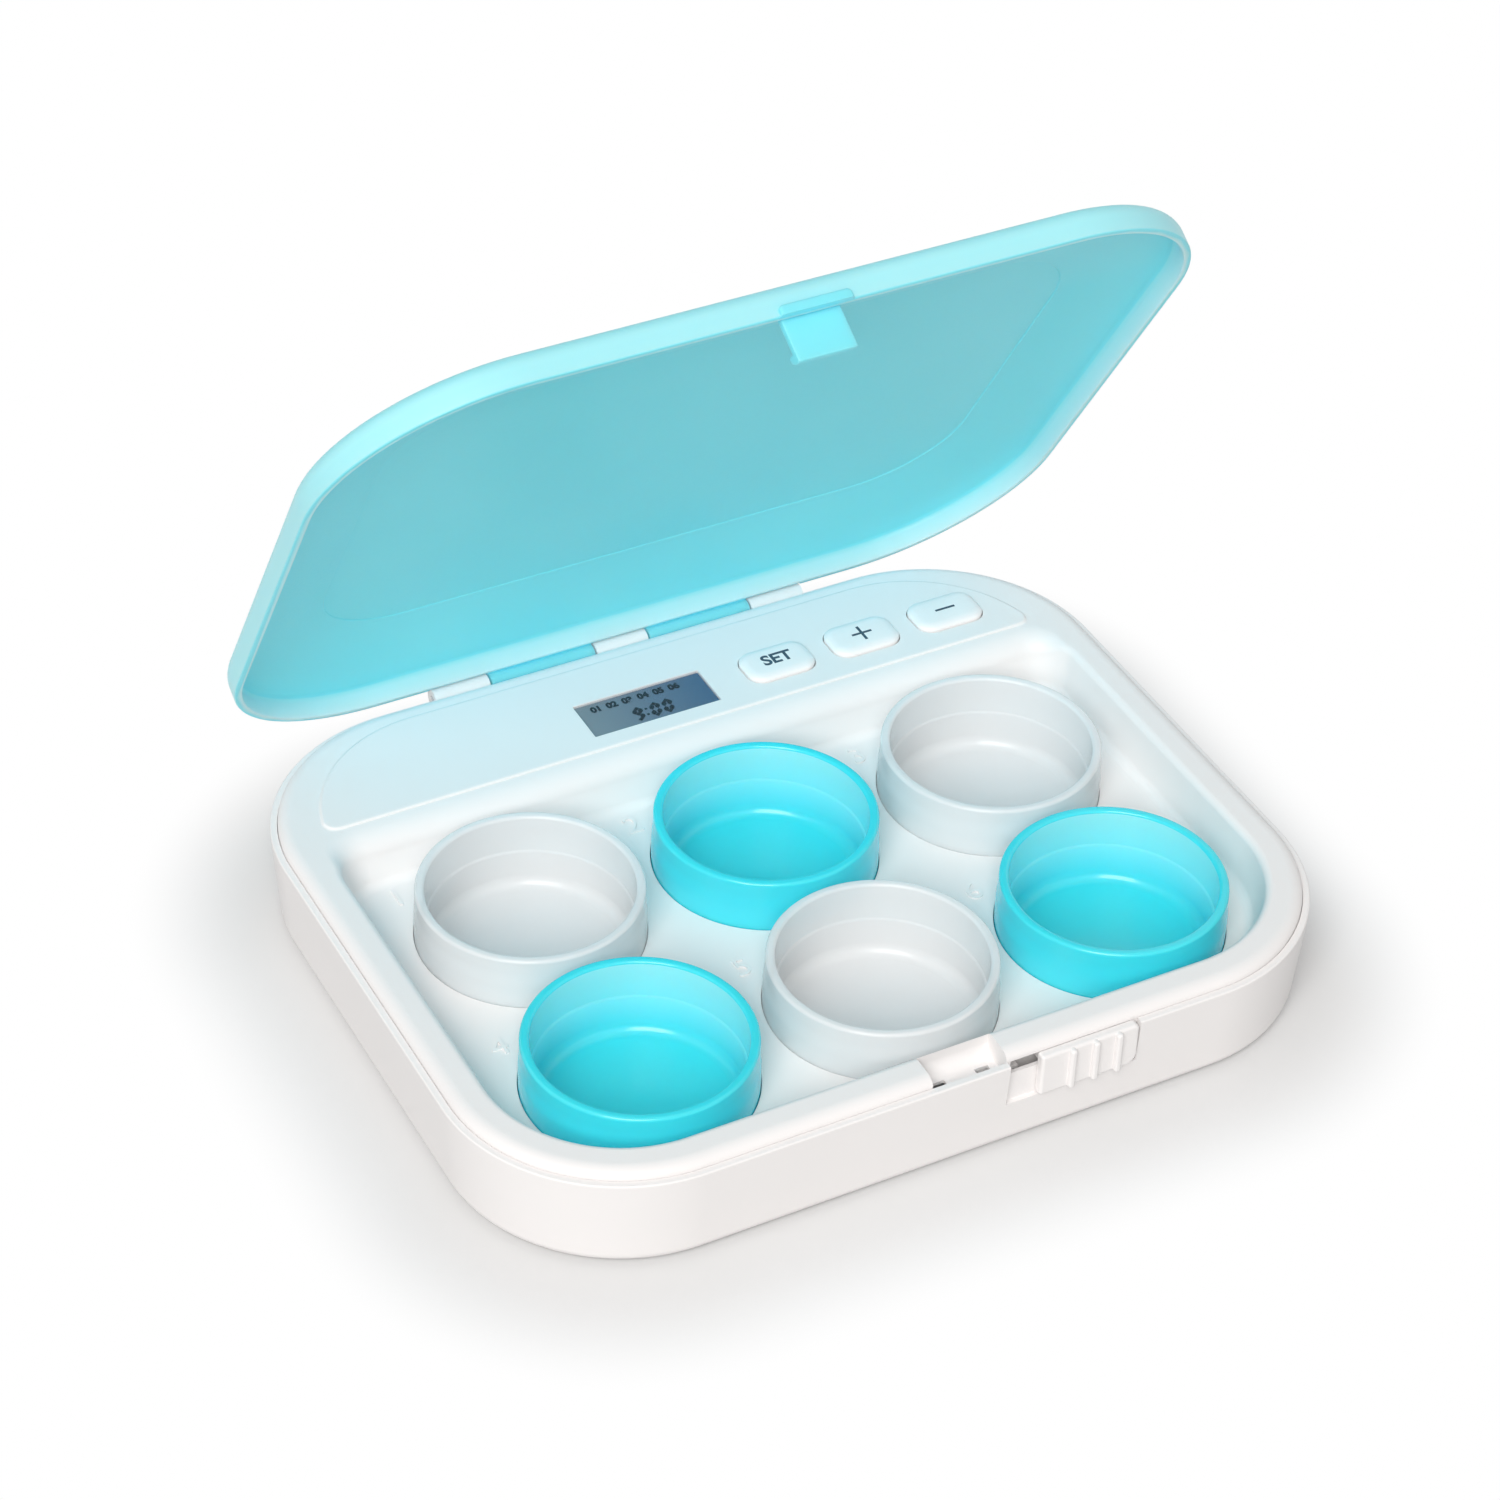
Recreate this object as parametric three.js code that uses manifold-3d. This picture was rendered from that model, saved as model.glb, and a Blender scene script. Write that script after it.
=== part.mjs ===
// Electronic pill box: a white two-shell case with a recessed tray for six lift-out cups, a control
// panel with a small display and three buttons, and a hinged lid that a sliding latch holds shut.
// Millimetres, +Z up. X runs along the hinge, +Y points from the latch to the hinge, and the origin
// is the middle of the case's underside, with the feet reaching a little below it.
import * as THREE from "three";
import { mergeVertices } from "three/addons/utils/BufferGeometryUtils.js";
import Module from "manifold-3d";

const wasm = await Module();
wasm.setup();

// Footprint at the seam between the two shells
const halfLength = 80;
const halfDepth = 64.2;
const cornerRadius = 31;

// Levels: the seam above the case's underside, and the other levels from the seam and the rim
const seamHeight = 18.6;
const rimRise = 1.8;
const cupRimRise = 0.9;
const trayDepth = 9.1;
const lidHeight = 6.4;

// Clearances: between fixed pieces, around pieces that slide or turn, and how far a cutter overruns
const seatGap = 0.3;
const runningGap = 0.4;
const touchGap = 0.1;
const doorGap = 0.2;
const overrun = 1;
const weldDistance = 1e-5;
const sharpShare = 0.02;
const quarterTurn = 90;

// Bottom case
const caseLip = 1.3;
const caseWall = 2;
const caseFloor = 2.4;
const caseDraft = 1.1;
const caseEdgeRadius = 2.2;
const rebateDepth = 2.7;

// Deck: the upper shell with the tray, the cup wells and the panel
const deckWall = 1.6;
const skirtWall = 1.3;
const shoulderReach = 2.4;
const shoulderDrop = 1.5;
const trayRim = 6.7;
const trayBackInset = 32.7;
const trayBackRadius = 7;
const trayTaper = 1.2;
const trayFootRadius = 2;
const trayLipRadius = 1.5;
const trayBackSlope = 5.3;
const trayBackDrop = 4.2;
const backTurnShare = 0.35;

// Control panel, a low plateau behind the tray
const panelRise = 0.4;
const panelFrontInset = 27.3;
const panelBackInset = 4;
const panelSideInset = 8.2;
const panelCornerInset = 4.5;
const panelFrontRadius = 2.6;

// Cups and their wells: two rows of three, as wide as the tray leaves room for
const cupSideGap = 7.4;
const cupGap = 5.9;
const cupFrontGap = 3.1;
const cupBackGap = 3.5;
const cupRowGap = 2.4;
const cupWall = 1.7;
const cupFloor = 1.3;
const cupCollarHeight = 4.6;
const cupBodyGrow = 0.25;
const cupStepDepth = 7.6;
const cupStepWidth = 0.4;
const cupFootRadius = 2.2;
const wellFloorHeight = 4.6;
const wellWall = 1.3;
const wellClearance = 0.45;

// Lid
const lidOverhang = 1.5;
const lidWall = 1.5;
const lidTopWall = 1.8;
const lidEdgeRadius = 3;
const lidInnerRadius = 1.4;
const lidCrownRise = 3.8;
const lidCrownSideInset = 16.2;
const lidCrownFrontInset = 20.7;
const lidCrownCornerInset = 12;
const lidOpenAngle = 58.5;

// Hinge: lugs on the case and knuckles on the lid, in turn along one pin
const hingeSetBack = 2.6;
const hingeDrop = 1;
const barrelRadius = 2;
const hingePinRadius = 0.75;
const hingePinGap = 0.05;
const hingeRunningGap = 0.1;
const middleLugHalf = 5.3;
const knuckleLength = 21.8;
const endLugLength = 11;
const lugWebHeight = 6;
const knuckleWebRise = 2.4;

// Latch: the lid's tongue, the slider in the front wall and its catch rail
const tongueMiddle = 0;
const tongueWidth = 10.7;
const tongueWall = 1.5;
const tongueSetBack = 0.4;
const tongueReach = 7.2;
const hookDepth = 1.4;
const hookHeight = 1.9;
const hookWidth = 2.4;
const collarHeight = 1.8;
const collarRise = 0.9;
const collarMargin = 1.2;
const collarMiddle = 0.45;
const notchHalf = 7;
const notchFloorDrop = 2.7;
const notchBackInset = 6.2;
const notchRound = 2.6;
const sliderTravel = 5.5;
const sliderLength = 19;
const sliderHeight = 8.6;
const sliderDrop = 9.1;
const sliderWall = 1.8;
const sliderRibCount = 3;
const sliderRibPitch = 4.5;
const sliderRibWidth = 1;
const sliderRibRise = 0.9;
const sliderEdgeRadius = 0.8;
const ribOffset = 0.8;
const webInset = 4;
const pocketStart = 7.1;
const pocketDepth = 1;
const slotHeight = 3;
const railWall = 1.2;
const railHeight = 3;
const catchDepth = 1.5;
const catchHeight = 1.1;
const catchClearance = 0.3;

// Battery bay for two AAA cells side by side, and its sliding door in the underside
const cellRadius = 5.25;
const cellLength = 44.5;
const cellTipRadius = 1.9;
const cellTipLength = 0.8;
const cellEndInset = 55;
const cellFrontInset = 20.8;
const cellPitchY = 11.3;
const contactWall = 0.4;
const contactSpace = 2.6;
const contactWidth = 8.6;
const contactHeight = 8;
const springLift = 1.9;
const tabWidth = 2;
const springRadius = 2.6;
const bayWall = 1.4;
const bayWallHeight = 8.4;
const ribHeight = 5.6;
const doorWall = 1.7;
const doorFrontReach = 5.8;
const doorLipHeight = 7.2;
const doorRail = 1.2;
const doorRailHeight = 0.8;
const gripLength = 14;
const gripWidth = 6;
const gripDepth = 0.5;
const gripInset = 5;

// Circuit board and what it carries
const boardWall = 1.2;
const boardDrop = 6.2;
const boardPastDisplay = 21.35;
const boardOverBay = 25.85;
const boardEndInset = 13.8;
const boardFrontInset = 25.6;
const boardBackInset = 8.2;
const boardCornerRadius = 3;
const boardPostRadius = 2;
const leftPostSetOut = 17.95;
const middlePostSetOut = 9.4;
const rightPostSetOut = 2.7;
const backPostInset = 2.2;
const boardScrewRadius = 0.8;
const boardScrewLength = 4;
const boardScrewHeadRadius = 1.7;
const boardScrewHeadHeight = 0.9;
const chipRadius = 4.4;
const chipTopRadius = 2.8;
const chipHeight = 1.4;
const chipGap = 2;
const chipSetBack = 0.7;
const crystalRadius = 1;
const crystalLength = 6;
const crystalInset = 2.6;

// Display
const controlRowInset = 18.4;
const lcdSetOut = 26.75;
const lcdWidth = 25.4;
const lcdHeight = 9.1;
const lcdBorder = 1.3;
const lcdGlassWall = 2;
const zebraInset = 1;
const lensWall = 1;
const lensSink = 1;
const windowBevel = 0.7;
const holderWall = 1.1;
const zebraWall = 1.6;

// Buttons
const buttonPitch = 17.85;
const buttonEndInset = 14;
const buttonWidth = 13.7;
const buttonDepth = 8.8;
const buttonRadius = 3;
const buttonRise = 1.1;
const buttonEdgeRadius = 0.9;
const buttonFlange = 1;
const buttonFlangeWall = 0.7;
const buttonTravel = 0.8;
const buttonStemRadius = 2.2;
const buttonClearance = 0.3;
const membraneWall = 0.6;
const membraneMargin = 0.3;
const domeHeight = 0.5;
const domeRadius = 4;
const domeTopRadius = 2.4;

// Buzzer under the circuit board, over its sound holes
const buzzerSetOut = 10.8;
const buzzerSetBack = 1.2;
const buzzerRadius = 6;
const buzzerHeight = 9.5;
const soundHoleRadius = 0.9;
const soundHoleRing = 3.6;
const soundHoleCount = 6;

// Case screws, their bosses and the feet
const screwSideInset = 9.5;
const screwBackInset = 25.7;
const screwFrontInset = 12.2;
const screwRadius = 1.2;
const screwLength = 7;
const screwHeadRadius = 2.5;
const screwHeadHeight = 1.5;
const screwSink = 0.8;
const caseBossRadius = 4;
const deckBossRadius = 3;
const bossTop = 4.8;
const footRadius = 4.5;
const footWall = 1.2;
const footDrop = 0.6;
const footSideInset = 17;
const footEndInset = 17.2;

// Fineness of the curves
const cornerSteps = 6;
const fineCornerSteps = 3;
const edgeSteps = 4;
const fineEdgeSteps = 3;
const roundSteps = 24;
const barSteps = 16;
const smallSteps = 12;

// Solids

// A closed geometry as a solid whose faces point outwards
function solid(geometry) {
  const bare = new THREE.BufferGeometry();
  bare.setAttribute("position", geometry.getAttribute("position"));
  bare.setIndex(geometry.getIndex());
  const merged = mergeVertices(bare, weldDistance);
  const vertProperties = Float32Array.from(merged.getAttribute("position").array);
  const triVerts = Uint32Array.from(merged.getIndex().array);
  const kept = [];
  for (let i = 0; i < triVerts.length; i += 3) {
    const [a, b, c] = [triVerts[i], triVerts[i + 1], triVerts[i + 2]];
    if (a !== b && b !== c && c !== a) kept.push(a, b, c);
  }
  const whole = Uint32Array.from(kept);
  if (signedVolume(vertProperties, whole) < 0) whole.reverse();
  return new wasm.Manifold(new wasm.Mesh({ numProp: 3, vertProperties, triVerts: whole }));
}

function signedVolume(points, triangles) {
  const [a, b, c] = [new THREE.Vector3(), new THREE.Vector3(), new THREE.Vector3()];
  let sum = 0;
  for (let i = 0; i < triangles.length; i += 3) {
    a.fromArray(points, triangles[i] * 3);
    b.fromArray(points, triangles[i + 1] * 3);
    c.fromArray(points, triangles[i + 2] * 3);
    sum += a.dot(b.cross(c));
  }
  return sum;
}

function geometryOf(manifold) {
  const mesh = manifold.getMesh();
  const geometry = new THREE.BufferGeometry();
  geometry.setAttribute("position", new THREE.BufferAttribute(mesh.vertProperties, 3));
  geometry.setIndex(new THREE.BufferAttribute(mesh.triVerts, 1));
  return geometry;
}

function join(...solids) {
  return solids.reduce((whole, next) => whole.add(next));
}

function cut(body, ...tools) {
  return tools.reduce((left, tool) => left.subtract(tool), body);
}

function block(x0, x1, y0, y1, z0, z1) {
  const geometry = new THREE.BoxGeometry(x1 - x0, y1 - y0, z1 - z0);
  geometry.translate((x0 + x1) / 2, (y0 + y1) / 2, (z0 + z1) / 2);
  return solid(geometry);
}

// An upright cylinder or cone
function column(x, y, z0, z1, radius, topRadius = radius, steps = smallSteps) {
  const geometry = new THREE.CylinderGeometry(topRadius, radius, z1 - z0, steps);
  geometry.rotateX(Math.PI / 2);
  geometry.translate(x, y, (z0 + z1) / 2);
  return solid(geometry);
}

// A cylinder along X
function bar(x0, x1, y, z, radius, steps = barSteps) {
  const geometry = new THREE.CylinderGeometry(radius, radius, x1 - x0, steps);
  geometry.rotateZ(Math.PI / 2);
  geometry.translate((x0 + x1) / 2, y, z);
  return solid(geometry);
}

// A turned solid about Z: its profile holds [radius, height] points and starts and ends on the axis
function turned(profile, steps = roundSteps) {
  const geometry = new THREE.LatheGeometry(profile.map(([r, z]) => new THREE.Vector2(r, z)), steps);
  geometry.rotateX(Math.PI / 2);
  return solid(geometry);
}

// A flat shape drawn in X and Y, raised from z0 to z1
function raised(shape, z0, z1, steps = cornerSteps) {
  const geometry = new THREE.ExtrudeGeometry(shape, {
    depth: z1 - z0, bevelEnabled: false, curveSegments: steps,
  });
  geometry.translate(0, 0, z0);
  return solid(geometry);
}

// A flat shape drawn in Y and Z, run along X from x0 to x1
function runAlongX(outline, x0, x1) {
  const shape = new THREE.Shape(outline.map(([y, z]) => new THREE.Vector2(y, z)));
  const geometry = new THREE.ExtrudeGeometry(shape, { depth: x1 - x0, bevelEnabled: false });
  const turn = new THREE.Matrix4().makeBasis(
    new THREE.Vector3(0, 1, 0), new THREE.Vector3(0, 0, 1), new THREE.Vector3(1, 0, 0));
  geometry.applyMatrix4(turn);
  geometry.translate(x0, 0, 0);
  return solid(geometry);
}

// The plan of a rounded rectangle: its sides, and a radius for each corner in the order
// back right, back left, front left, front right
function plan(x0, x1, y0, y1, radii, steps = cornerSteps) {
  const four = Array.isArray(radii) ? radii : [radii, radii, radii, radii];
  return { x0, x1, y0, y1, radii: four, steps };
}

// The plan's outline grown outwards, as points with the outward direction at each
function ring(shape, grow) {
  const { x0, x1, y0, y1, radii, steps } = shape;
  const corners = [[x1, y1, 1, 1], [x0, y1, -1, 1], [x0, y0, -1, -1], [x1, y0, 1, -1]];
  return corners.flatMap(([x, y, sideX, sideY], quarter) => {
    const radius = radii[quarter];
    const reach = Math.max(radius + grow, radius * sharpShare);
    const slack = Math.max(0, -(radius + grow));
    return Array.from({ length: steps + 1 }, (_, step) => {
      const angle = (quarter + step / steps) * Math.PI / 2;
      const out = new THREE.Vector2(Math.cos(angle), Math.sin(angle));
      const middleX = x - sideX * (radius + slack);
      const middleY = y - sideY * (radius + slack);
      return { x: middleX + reach * out.x, y: middleY + reach * out.y, out };
    });
  });
}

// A solid through rings of the same count, each a list of [x, y, z] points, with flat ends
function loft(rings) {
  const count = rings[0].length;
  const points = rings.flat();
  const triangles = [];
  for (let level = 0; level + 1 < rings.length; level++) {
    for (let i = 0; i < count; i++) {
      const [a, b] = [level * count + i, level * count + (i + 1) % count];
      triangles.push(a, b, b + count, a, b + count, a + count);
    }
  }
  for (const [level, flip] of [[0, true], [rings.length - 1, false]]) {
    const middle = rings[level].reduce((sum, p) => sum.map((v, k) => v + p[k] / count), [0, 0, 0]);
    points.push(middle);
    const hub = points.length - 1;
    for (let i = 0; i < count; i++) {
      const [a, b] = [level * count + i, level * count + (i + 1) % count];
      triangles.push(...(flip ? [hub, b, a] : [hub, a, b]));
    }
  }
  const geometry = new THREE.BufferGeometry();
  geometry.setAttribute("position", new THREE.Float32BufferAttribute(points.flat(), 3));
  geometry.setIndex(triangles);
  return solid(geometry);
}

// A lofted solid over one plan from rows of [growth, height]
function stack(shape, rows) {
  return loft(rows.map(([grow, z]) => ring(shape, grow).map((p) => [p.x, p.y, z])));
}

// Rows of a quarter round that starts upright at [grow, z] and turns inwards over reach and rise
function roundOver(grow, z, reach, rise, steps = edgeSteps) {
  return Array.from({ length: steps + 1 }, (_, i) => {
    const angle = i / steps * Math.PI / 2;
    return [grow - reach * (1 - Math.cos(angle)), z + rise * Math.sin(angle)];
  });
}

// Pieces

const plastic = (color, roughness) => ({ color, roughness, metalness: 0 });
const finishes = {
  whiteShell: plastic(0xe9eaec, 0.38),
  lid: plastic(0x6fcfe2, 0.3),
  blueCup: plastic(0x3cc8e4, 0.28),
  clearCup: plastic(0xe4eaee, 0.3),
  button: plastic(0xeeeff1, 0.42),
  lens: plastic(0x8fa3b4, 0.08),
  display: plastic(0x6b7f92, 0.25),
  holder: plastic(0x2c2f33, 0.5),
  zebra: plastic(0x5d5a66, 0.7),
  membrane: plastic(0xb9bcc0, 0.75),
  board: plastic(0x2f6b45, 0.45),
  chip: plastic(0x17181a, 0.35),
  foot: plastic(0x55585c, 0.85),
  cell: plastic(0x4c5560, 0.4),
  buzzer: plastic(0x1f2022, 0.5),
  steel: { color: 0xb8bcc2, roughness: 0.3, metalness: 1 },
};

function piece(name, body, finish, place = [0, 0, 0]) {
  const mesh = new THREE.Mesh(geometryOf(body), new THREE.MeshStandardMaterial(finishes[finish]));
  mesh.name = name;
  mesh.position.set(...place);
  return mesh;
}

const rimHeight = seamHeight + rimRise;
const cupRimHeight = rimHeight + cupRimRise;
const trayFloorHeight = rimHeight - trayDepth;
const lidEdgeHeight = seamHeight + lidHeight;
const lipHeight = seamHeight + seatGap;
const deckUnderside = rimHeight - deckWall;
const panelTop = rimHeight + panelRise;

const footprint = plan(-halfLength, halfLength, -halfDepth, halfDepth, cornerRadius);
const trayHalf = halfLength - trayRim;
const trayFront = trayRim - halfDepth;
const trayBack = halfDepth - trayBackInset;
const trayPlan = plan(-trayHalf, trayHalf, trayFront, trayBack, [
  trayBackRadius, trayBackRadius, cornerRadius - trayRim, cornerRadius - trayRim,
]);

// Cups: three fit across the tray and two along it
const cupRadiusAcross = (trayHalf - cupSideGap - cupGap) / 3;
const cupRadiusAlong = (trayBack - trayFront - cupFrontGap - cupBackGap - cupRowGap) / 4;
const cupRadius = Math.min(cupRadiusAcross, cupRadiusAlong);
const cupPitch = trayHalf - cupSideGap - cupRadius;
const cupFrontY = trayFront + cupFrontGap + cupRadius;
const cupBackY = trayBack - cupBackGap - cupRadius;
const wellRadius = cupRadius + cupBodyGrow + wellClearance;
const cupPlaces = [cupBackY, cupFrontY].flatMap((y) => [[-cupPitch, y], [0, y], [cupPitch, y]]);

// Screws: two at the back ends, and two at the front between the cups
const screwBackX = halfLength - screwSideInset;
const screwBackY = halfDepth - screwBackInset;
const screwFrontX = cupPitch / 2;
const screwFrontY = screwFrontInset - halfDepth;
const screwPlaces = [
  [-screwBackX, screwBackY], [screwBackX, screwBackY],
  [-screwFrontX, screwFrontY], [screwFrontX, screwFrontY],
];
const footX = halfLength - footSideInset;
const footY = halfDepth - footEndInset;
const footPlaces = [[-footX, footY], [footX, footY], [-footX, -footY], [footX, -footY]];

// Panel, and the control row laid out from its right end: three buttons, then the display
const panelFront = halfDepth - panelFrontInset;
const panelBack = halfDepth - panelBackInset;
const panelHalf = halfLength - panelSideInset;
const panelRadius = cornerRadius - panelCornerInset;
const controlRowY = halfDepth - controlRowInset;
const lastButtonX = panelHalf - buttonEndInset;
const buttonPositions = [lastButtonX - 2 * buttonPitch, lastButtonX - buttonPitch, lastButtonX];
const lcdMiddleX = buttonPositions[0] - lcdSetOut;
const hingeY = halfDepth + hingeSetBack;
const hingeZ = seamHeight - hingeDrop;

// Hinge spans along X: the lid's two knuckles turn between the case's three lugs
const knuckleEnd = middleLugHalf + knuckleLength;
const hingeEnd = knuckleEnd + endLugLength;
const lugSpans = [
  [-hingeEnd, -knuckleEnd], [-middleLugHalf, middleLugHalf], [knuckleEnd, hingeEnd],
];
const knuckleSpans = [[-knuckleEnd, -middleLugHalf], [middleLugHalf, knuckleEnd]];

// Latch places with the lid closed and the slider at its released end
const wallOuterAt = (z) => halfDepth + caseLip - caseDraft * (seamHeight - z) / seamHeight;
const sliderFoot = seamHeight - sliderDrop;
const pocketFloorY = pocketDepth - wallOuterAt(sliderFoot);
const tongueFrontY = tongueSetBack - halfDepth;
const tongueBackY = tongueFrontY + tongueWall;
const tongueFoot = lipHeight - tongueReach;
const tongueStart = tongueMiddle - tongueWidth / 2;
const tongueEnd = tongueMiddle + tongueWidth / 2;
const hookBackY = tongueBackY + hookDepth;
const hookTop = tongueFoot + hookHeight;
const hookStarts = [tongueStart, tongueEnd - hookWidth];
const railFrontY = hookBackY + runningGap;
const railBackY = railFrontY + railWall;
const railTop = hookTop + catchClearance + catchHeight;
const railFoot = railTop - railHeight;
const sliderStart = pocketStart + sliderTravel + runningGap;
const sliderEnd = sliderStart + sliderLength;
const sliderTop = sliderFoot + sliderHeight;
const pocketEnd = sliderEnd + runningGap;
const webStart = sliderStart + sliderEdgeRadius;
const webEnd = sliderEnd - webInset;
const slotFoot = seamHeight - slotHeight;
const notchBackY = notchBackInset - halfDepth;

// Battery bay: the inner faces of its walls
const cellMiddleX = cellEndInset - halfLength;
const cellFrontY = halfDepth - cellFrontInset;
const bayStart = cellMiddleX - cellLength / 2 - contactSpace;
const bayEnd = cellMiddleX + cellLength / 2 + contactSpace;
const bayFront = cellFrontY - cellRadius - seatGap;
const bayBack = cellFrontY + cellPitchY + cellRadius + seatGap;
const cellBackY = cellFrontY + cellPitchY;
const cellLevel = caseFloor + cellRadius + seatGap;
const doorStart = bayStart + seatGap;
const doorEnd = bayEnd - seatGap;
const doorFrontY = cellFrontY - doorFrontReach;
const doorLipY = halfDepth - caseWall;

// Circuit board: it carries the display and reaches over the bay's contacts
const boardLevel = rimHeight - boardDrop;
const boardStart = Math.min(lcdMiddleX - boardPastDisplay, bayEnd - boardOverBay);
const boardEnd = halfLength - boardEndInset;
const boardFront = halfDepth - boardFrontInset;
const boardBack = halfDepth - boardBackInset;
const backPostY = boardBack - backPostInset;
const boardPosts = [
  [lcdMiddleX - leftPostSetOut, (cellFrontY + cellBackY) / 2],
  [buttonPositions[0] - middlePostSetOut, backPostY], [lastButtonX + rightPostSetOut, backPostY],
];
const buzzerX = lastButtonX - buzzerSetOut;
const buzzerY = controlRowY + buzzerSetBack;
const chipX = buzzerX - buzzerRadius - chipGap - chipRadius;
const chipY = controlRowY + chipSetBack;
const crystalY = boardBack - crystalInset;

// Display and buttons, upwards from the circuit board
const boardTop = boardLevel + boardWall;
const onBoard = boardTop + touchGap;
const lensTop = panelTop - lensSink - touchGap;
const lensFoot = lensTop - lensWall;
const glassTop = lensFoot - seatGap;
const glassFoot = glassTop - lcdGlassWall;
const glassHalfX = lcdWidth / 2 + lcdBorder;
const glassHalfY = lcdHeight / 2 + lcdBorder;
const flangeTop = deckUnderside - touchGap;
const flangeFoot = flangeTop - buttonFlangeWall;
const domeTop = onBoard + membraneWall + domeHeight;
const stemFoot = domeTop + buttonTravel + touchGap;

// The case's outer form, with its draft and its rounded bottom edge
function caseForm() {
  const edge = roundOver(caseLip - caseDraft, 0, caseEdgeRadius, caseEdgeRadius)
    .map(([grow, z]) => [grow, caseEdgeRadius - z]).reverse();
  return stack(footprint, [...edge, [caseLip, seamHeight]]);
}

function bottomCase() {
  const rebateFoot = seamHeight - rebateDepth;
  const innerGrow = (z) => wallOuterAt(z) - halfDepth - caseWall;
  const inside = stack(footprint, [
    [innerGrow(caseFloor) - caseWall / 2, caseFloor],
    [innerGrow(caseFloor), caseFloor + caseWall / 2],
    [innerGrow(rebateFoot), rebateFoot + overrun],
  ]);
  const rebate = stack(footprint, [[0, rebateFoot], [0, seamHeight + overrun]]);
  const shell = join(
    cut(caseForm(), inside, rebate), ...caseBosses(), ...batteryBay(), railGuide(), ...caseLugs());
  return piece("bottom_case", cut(
    shell, ...caseScrewHoles(), ...footRecesses(), ...soundHoles(), ...doorOpening(), ...latchCuts(),
    ...knuckleSpans.map(([x0, x1]) => bar(
      x0, x1, hingeY, hingeZ, barrelRadius + runningGap)),
    bar(-hingeEnd - overrun, hingeEnd + overrun, hingeY, hingeZ, hingePinRadius + hingePinGap),
  ), "whiteShell");
}

// Barrels that stand behind the wall's top edge, each with a web down the outside of the wall
function caseLugs() {
  const webFoot = hingeZ - lugWebHeight;
  return lugSpans.map(([x0, x1]) => bar(x0, x1, hingeY, hingeZ, barrelRadius).add(runAlongX([
    [halfDepth, hingeZ], [hingeY, hingeZ], [hingeY + barrelRadius, hingeZ],
    [wallOuterAt(webFoot), webFoot], [halfDepth - caseWall / 2, webFoot],
    [halfDepth - caseWall / 2, seamHeight - rebateDepth], [halfDepth, seamHeight - rebateDepth],
  ], x0, x1)));
}

function caseBosses() {
  return screwPlaces.map(([x, y]) => column(x, y, screwSink, bossTop, caseBossRadius));
}

function caseScrewHoles() {
  const headFloor = screwSink + screwHeadHeight + touchGap;
  return screwPlaces.flatMap(([x, y]) => [
    column(x, y, -overrun, headFloor, screwHeadRadius + seatGap),
    column(x, y, 0, bossTop + overrun, screwRadius + seatGap),
  ]);
}

function footRecesses() {
  const top = footWall - footDrop + touchGap;
  return footPlaces.map(([x, y]) => column(x, y, -overrun, top, footRadius + touchGap));
}

function soundHoles() {
  return Array.from({ length: soundHoleCount }, (_, i) => {
    const angle = i / soundHoleCount * Math.PI * 2;
    const x = buzzerX + soundHoleRing * Math.cos(angle);
    const y = buzzerY + soundHoleRing * Math.sin(angle);
    return column(x, y, -overrun, caseFloor + overrun, soundHoleRadius);
  });
}

// Four walls round the cells, and a short rib at each end between the two contacts
function batteryBay() {
  const top = caseFloor + bayWallHeight;
  const foot = caseFloor - bayWall / 2;
  const middleY = (cellFrontY + cellBackY) / 2;
  const [outerStart, outerEnd] = [bayStart - bayWall, bayEnd + bayWall];
  const [outerFront, outerBack] = [bayFront - bayWall, bayBack + bayWall];
  const rib = (x0, x1) => block(
    x0, x1, middleY - bayWall / 2, middleY + bayWall / 2, foot, caseFloor + ribHeight);
  return [
    block(outerStart, bayStart, outerFront, outerBack, foot, top),
    block(bayEnd, outerEnd, outerFront, outerBack, foot, top),
    block(outerStart, outerEnd, outerFront, bayFront, foot, top),
    block(outerStart, outerEnd, bayBack, outerBack, foot, top),
    rib(bayStart - bayWall / 2, bayStart + contactSpace / 2),
    rib(bayEnd - contactSpace / 2, bayEnd + bayWall / 2),
  ];
}

// The hole in the underside and the back wall that the door slides into, with its side grooves
function doorOpening() {
  const [x0, x1] = [doorStart - doorGap, doorEnd + doorGap];
  const beyond = halfDepth + caseLip + overrun;
  return [
    block(x0, x1, doorFrontY - doorGap, beyond, -overrun, caseFloor + overrun),
    block(x0, x1, doorLipY - doorGap, beyond, -overrun, doorLipHeight + doorGap),
    block(x0 - doorRail, x1 + doorRail, doorFrontY - doorGap, beyond,
      doorWall - doorRailHeight - doorGap, doorWall + doorGap),
  ];
}

// The rib on the floor that the slider's rail runs along
function railGuide() {
  return block(tongueStart - sliderTravel, webEnd - sliderTravel, railFrontY, railBackY,
    caseFloor - caseFloor / 2, railFoot - touchGap);
}

function latchCuts() {
  const front = -(halfDepth + caseLip + overrun);
  const top = seamHeight + overrun;
  return [
    block(pocketStart, pocketEnd, front, pocketFloorY, sliderFoot - runningGap, top),
    block(pocketStart, webEnd + runningGap, front, railFrontY, slotFoot, top),
    block(tongueStart - runningGap, tongueEnd + runningGap, -halfDepth, railFrontY,
      tongueFoot - overrun, top),
  ];
}

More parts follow.
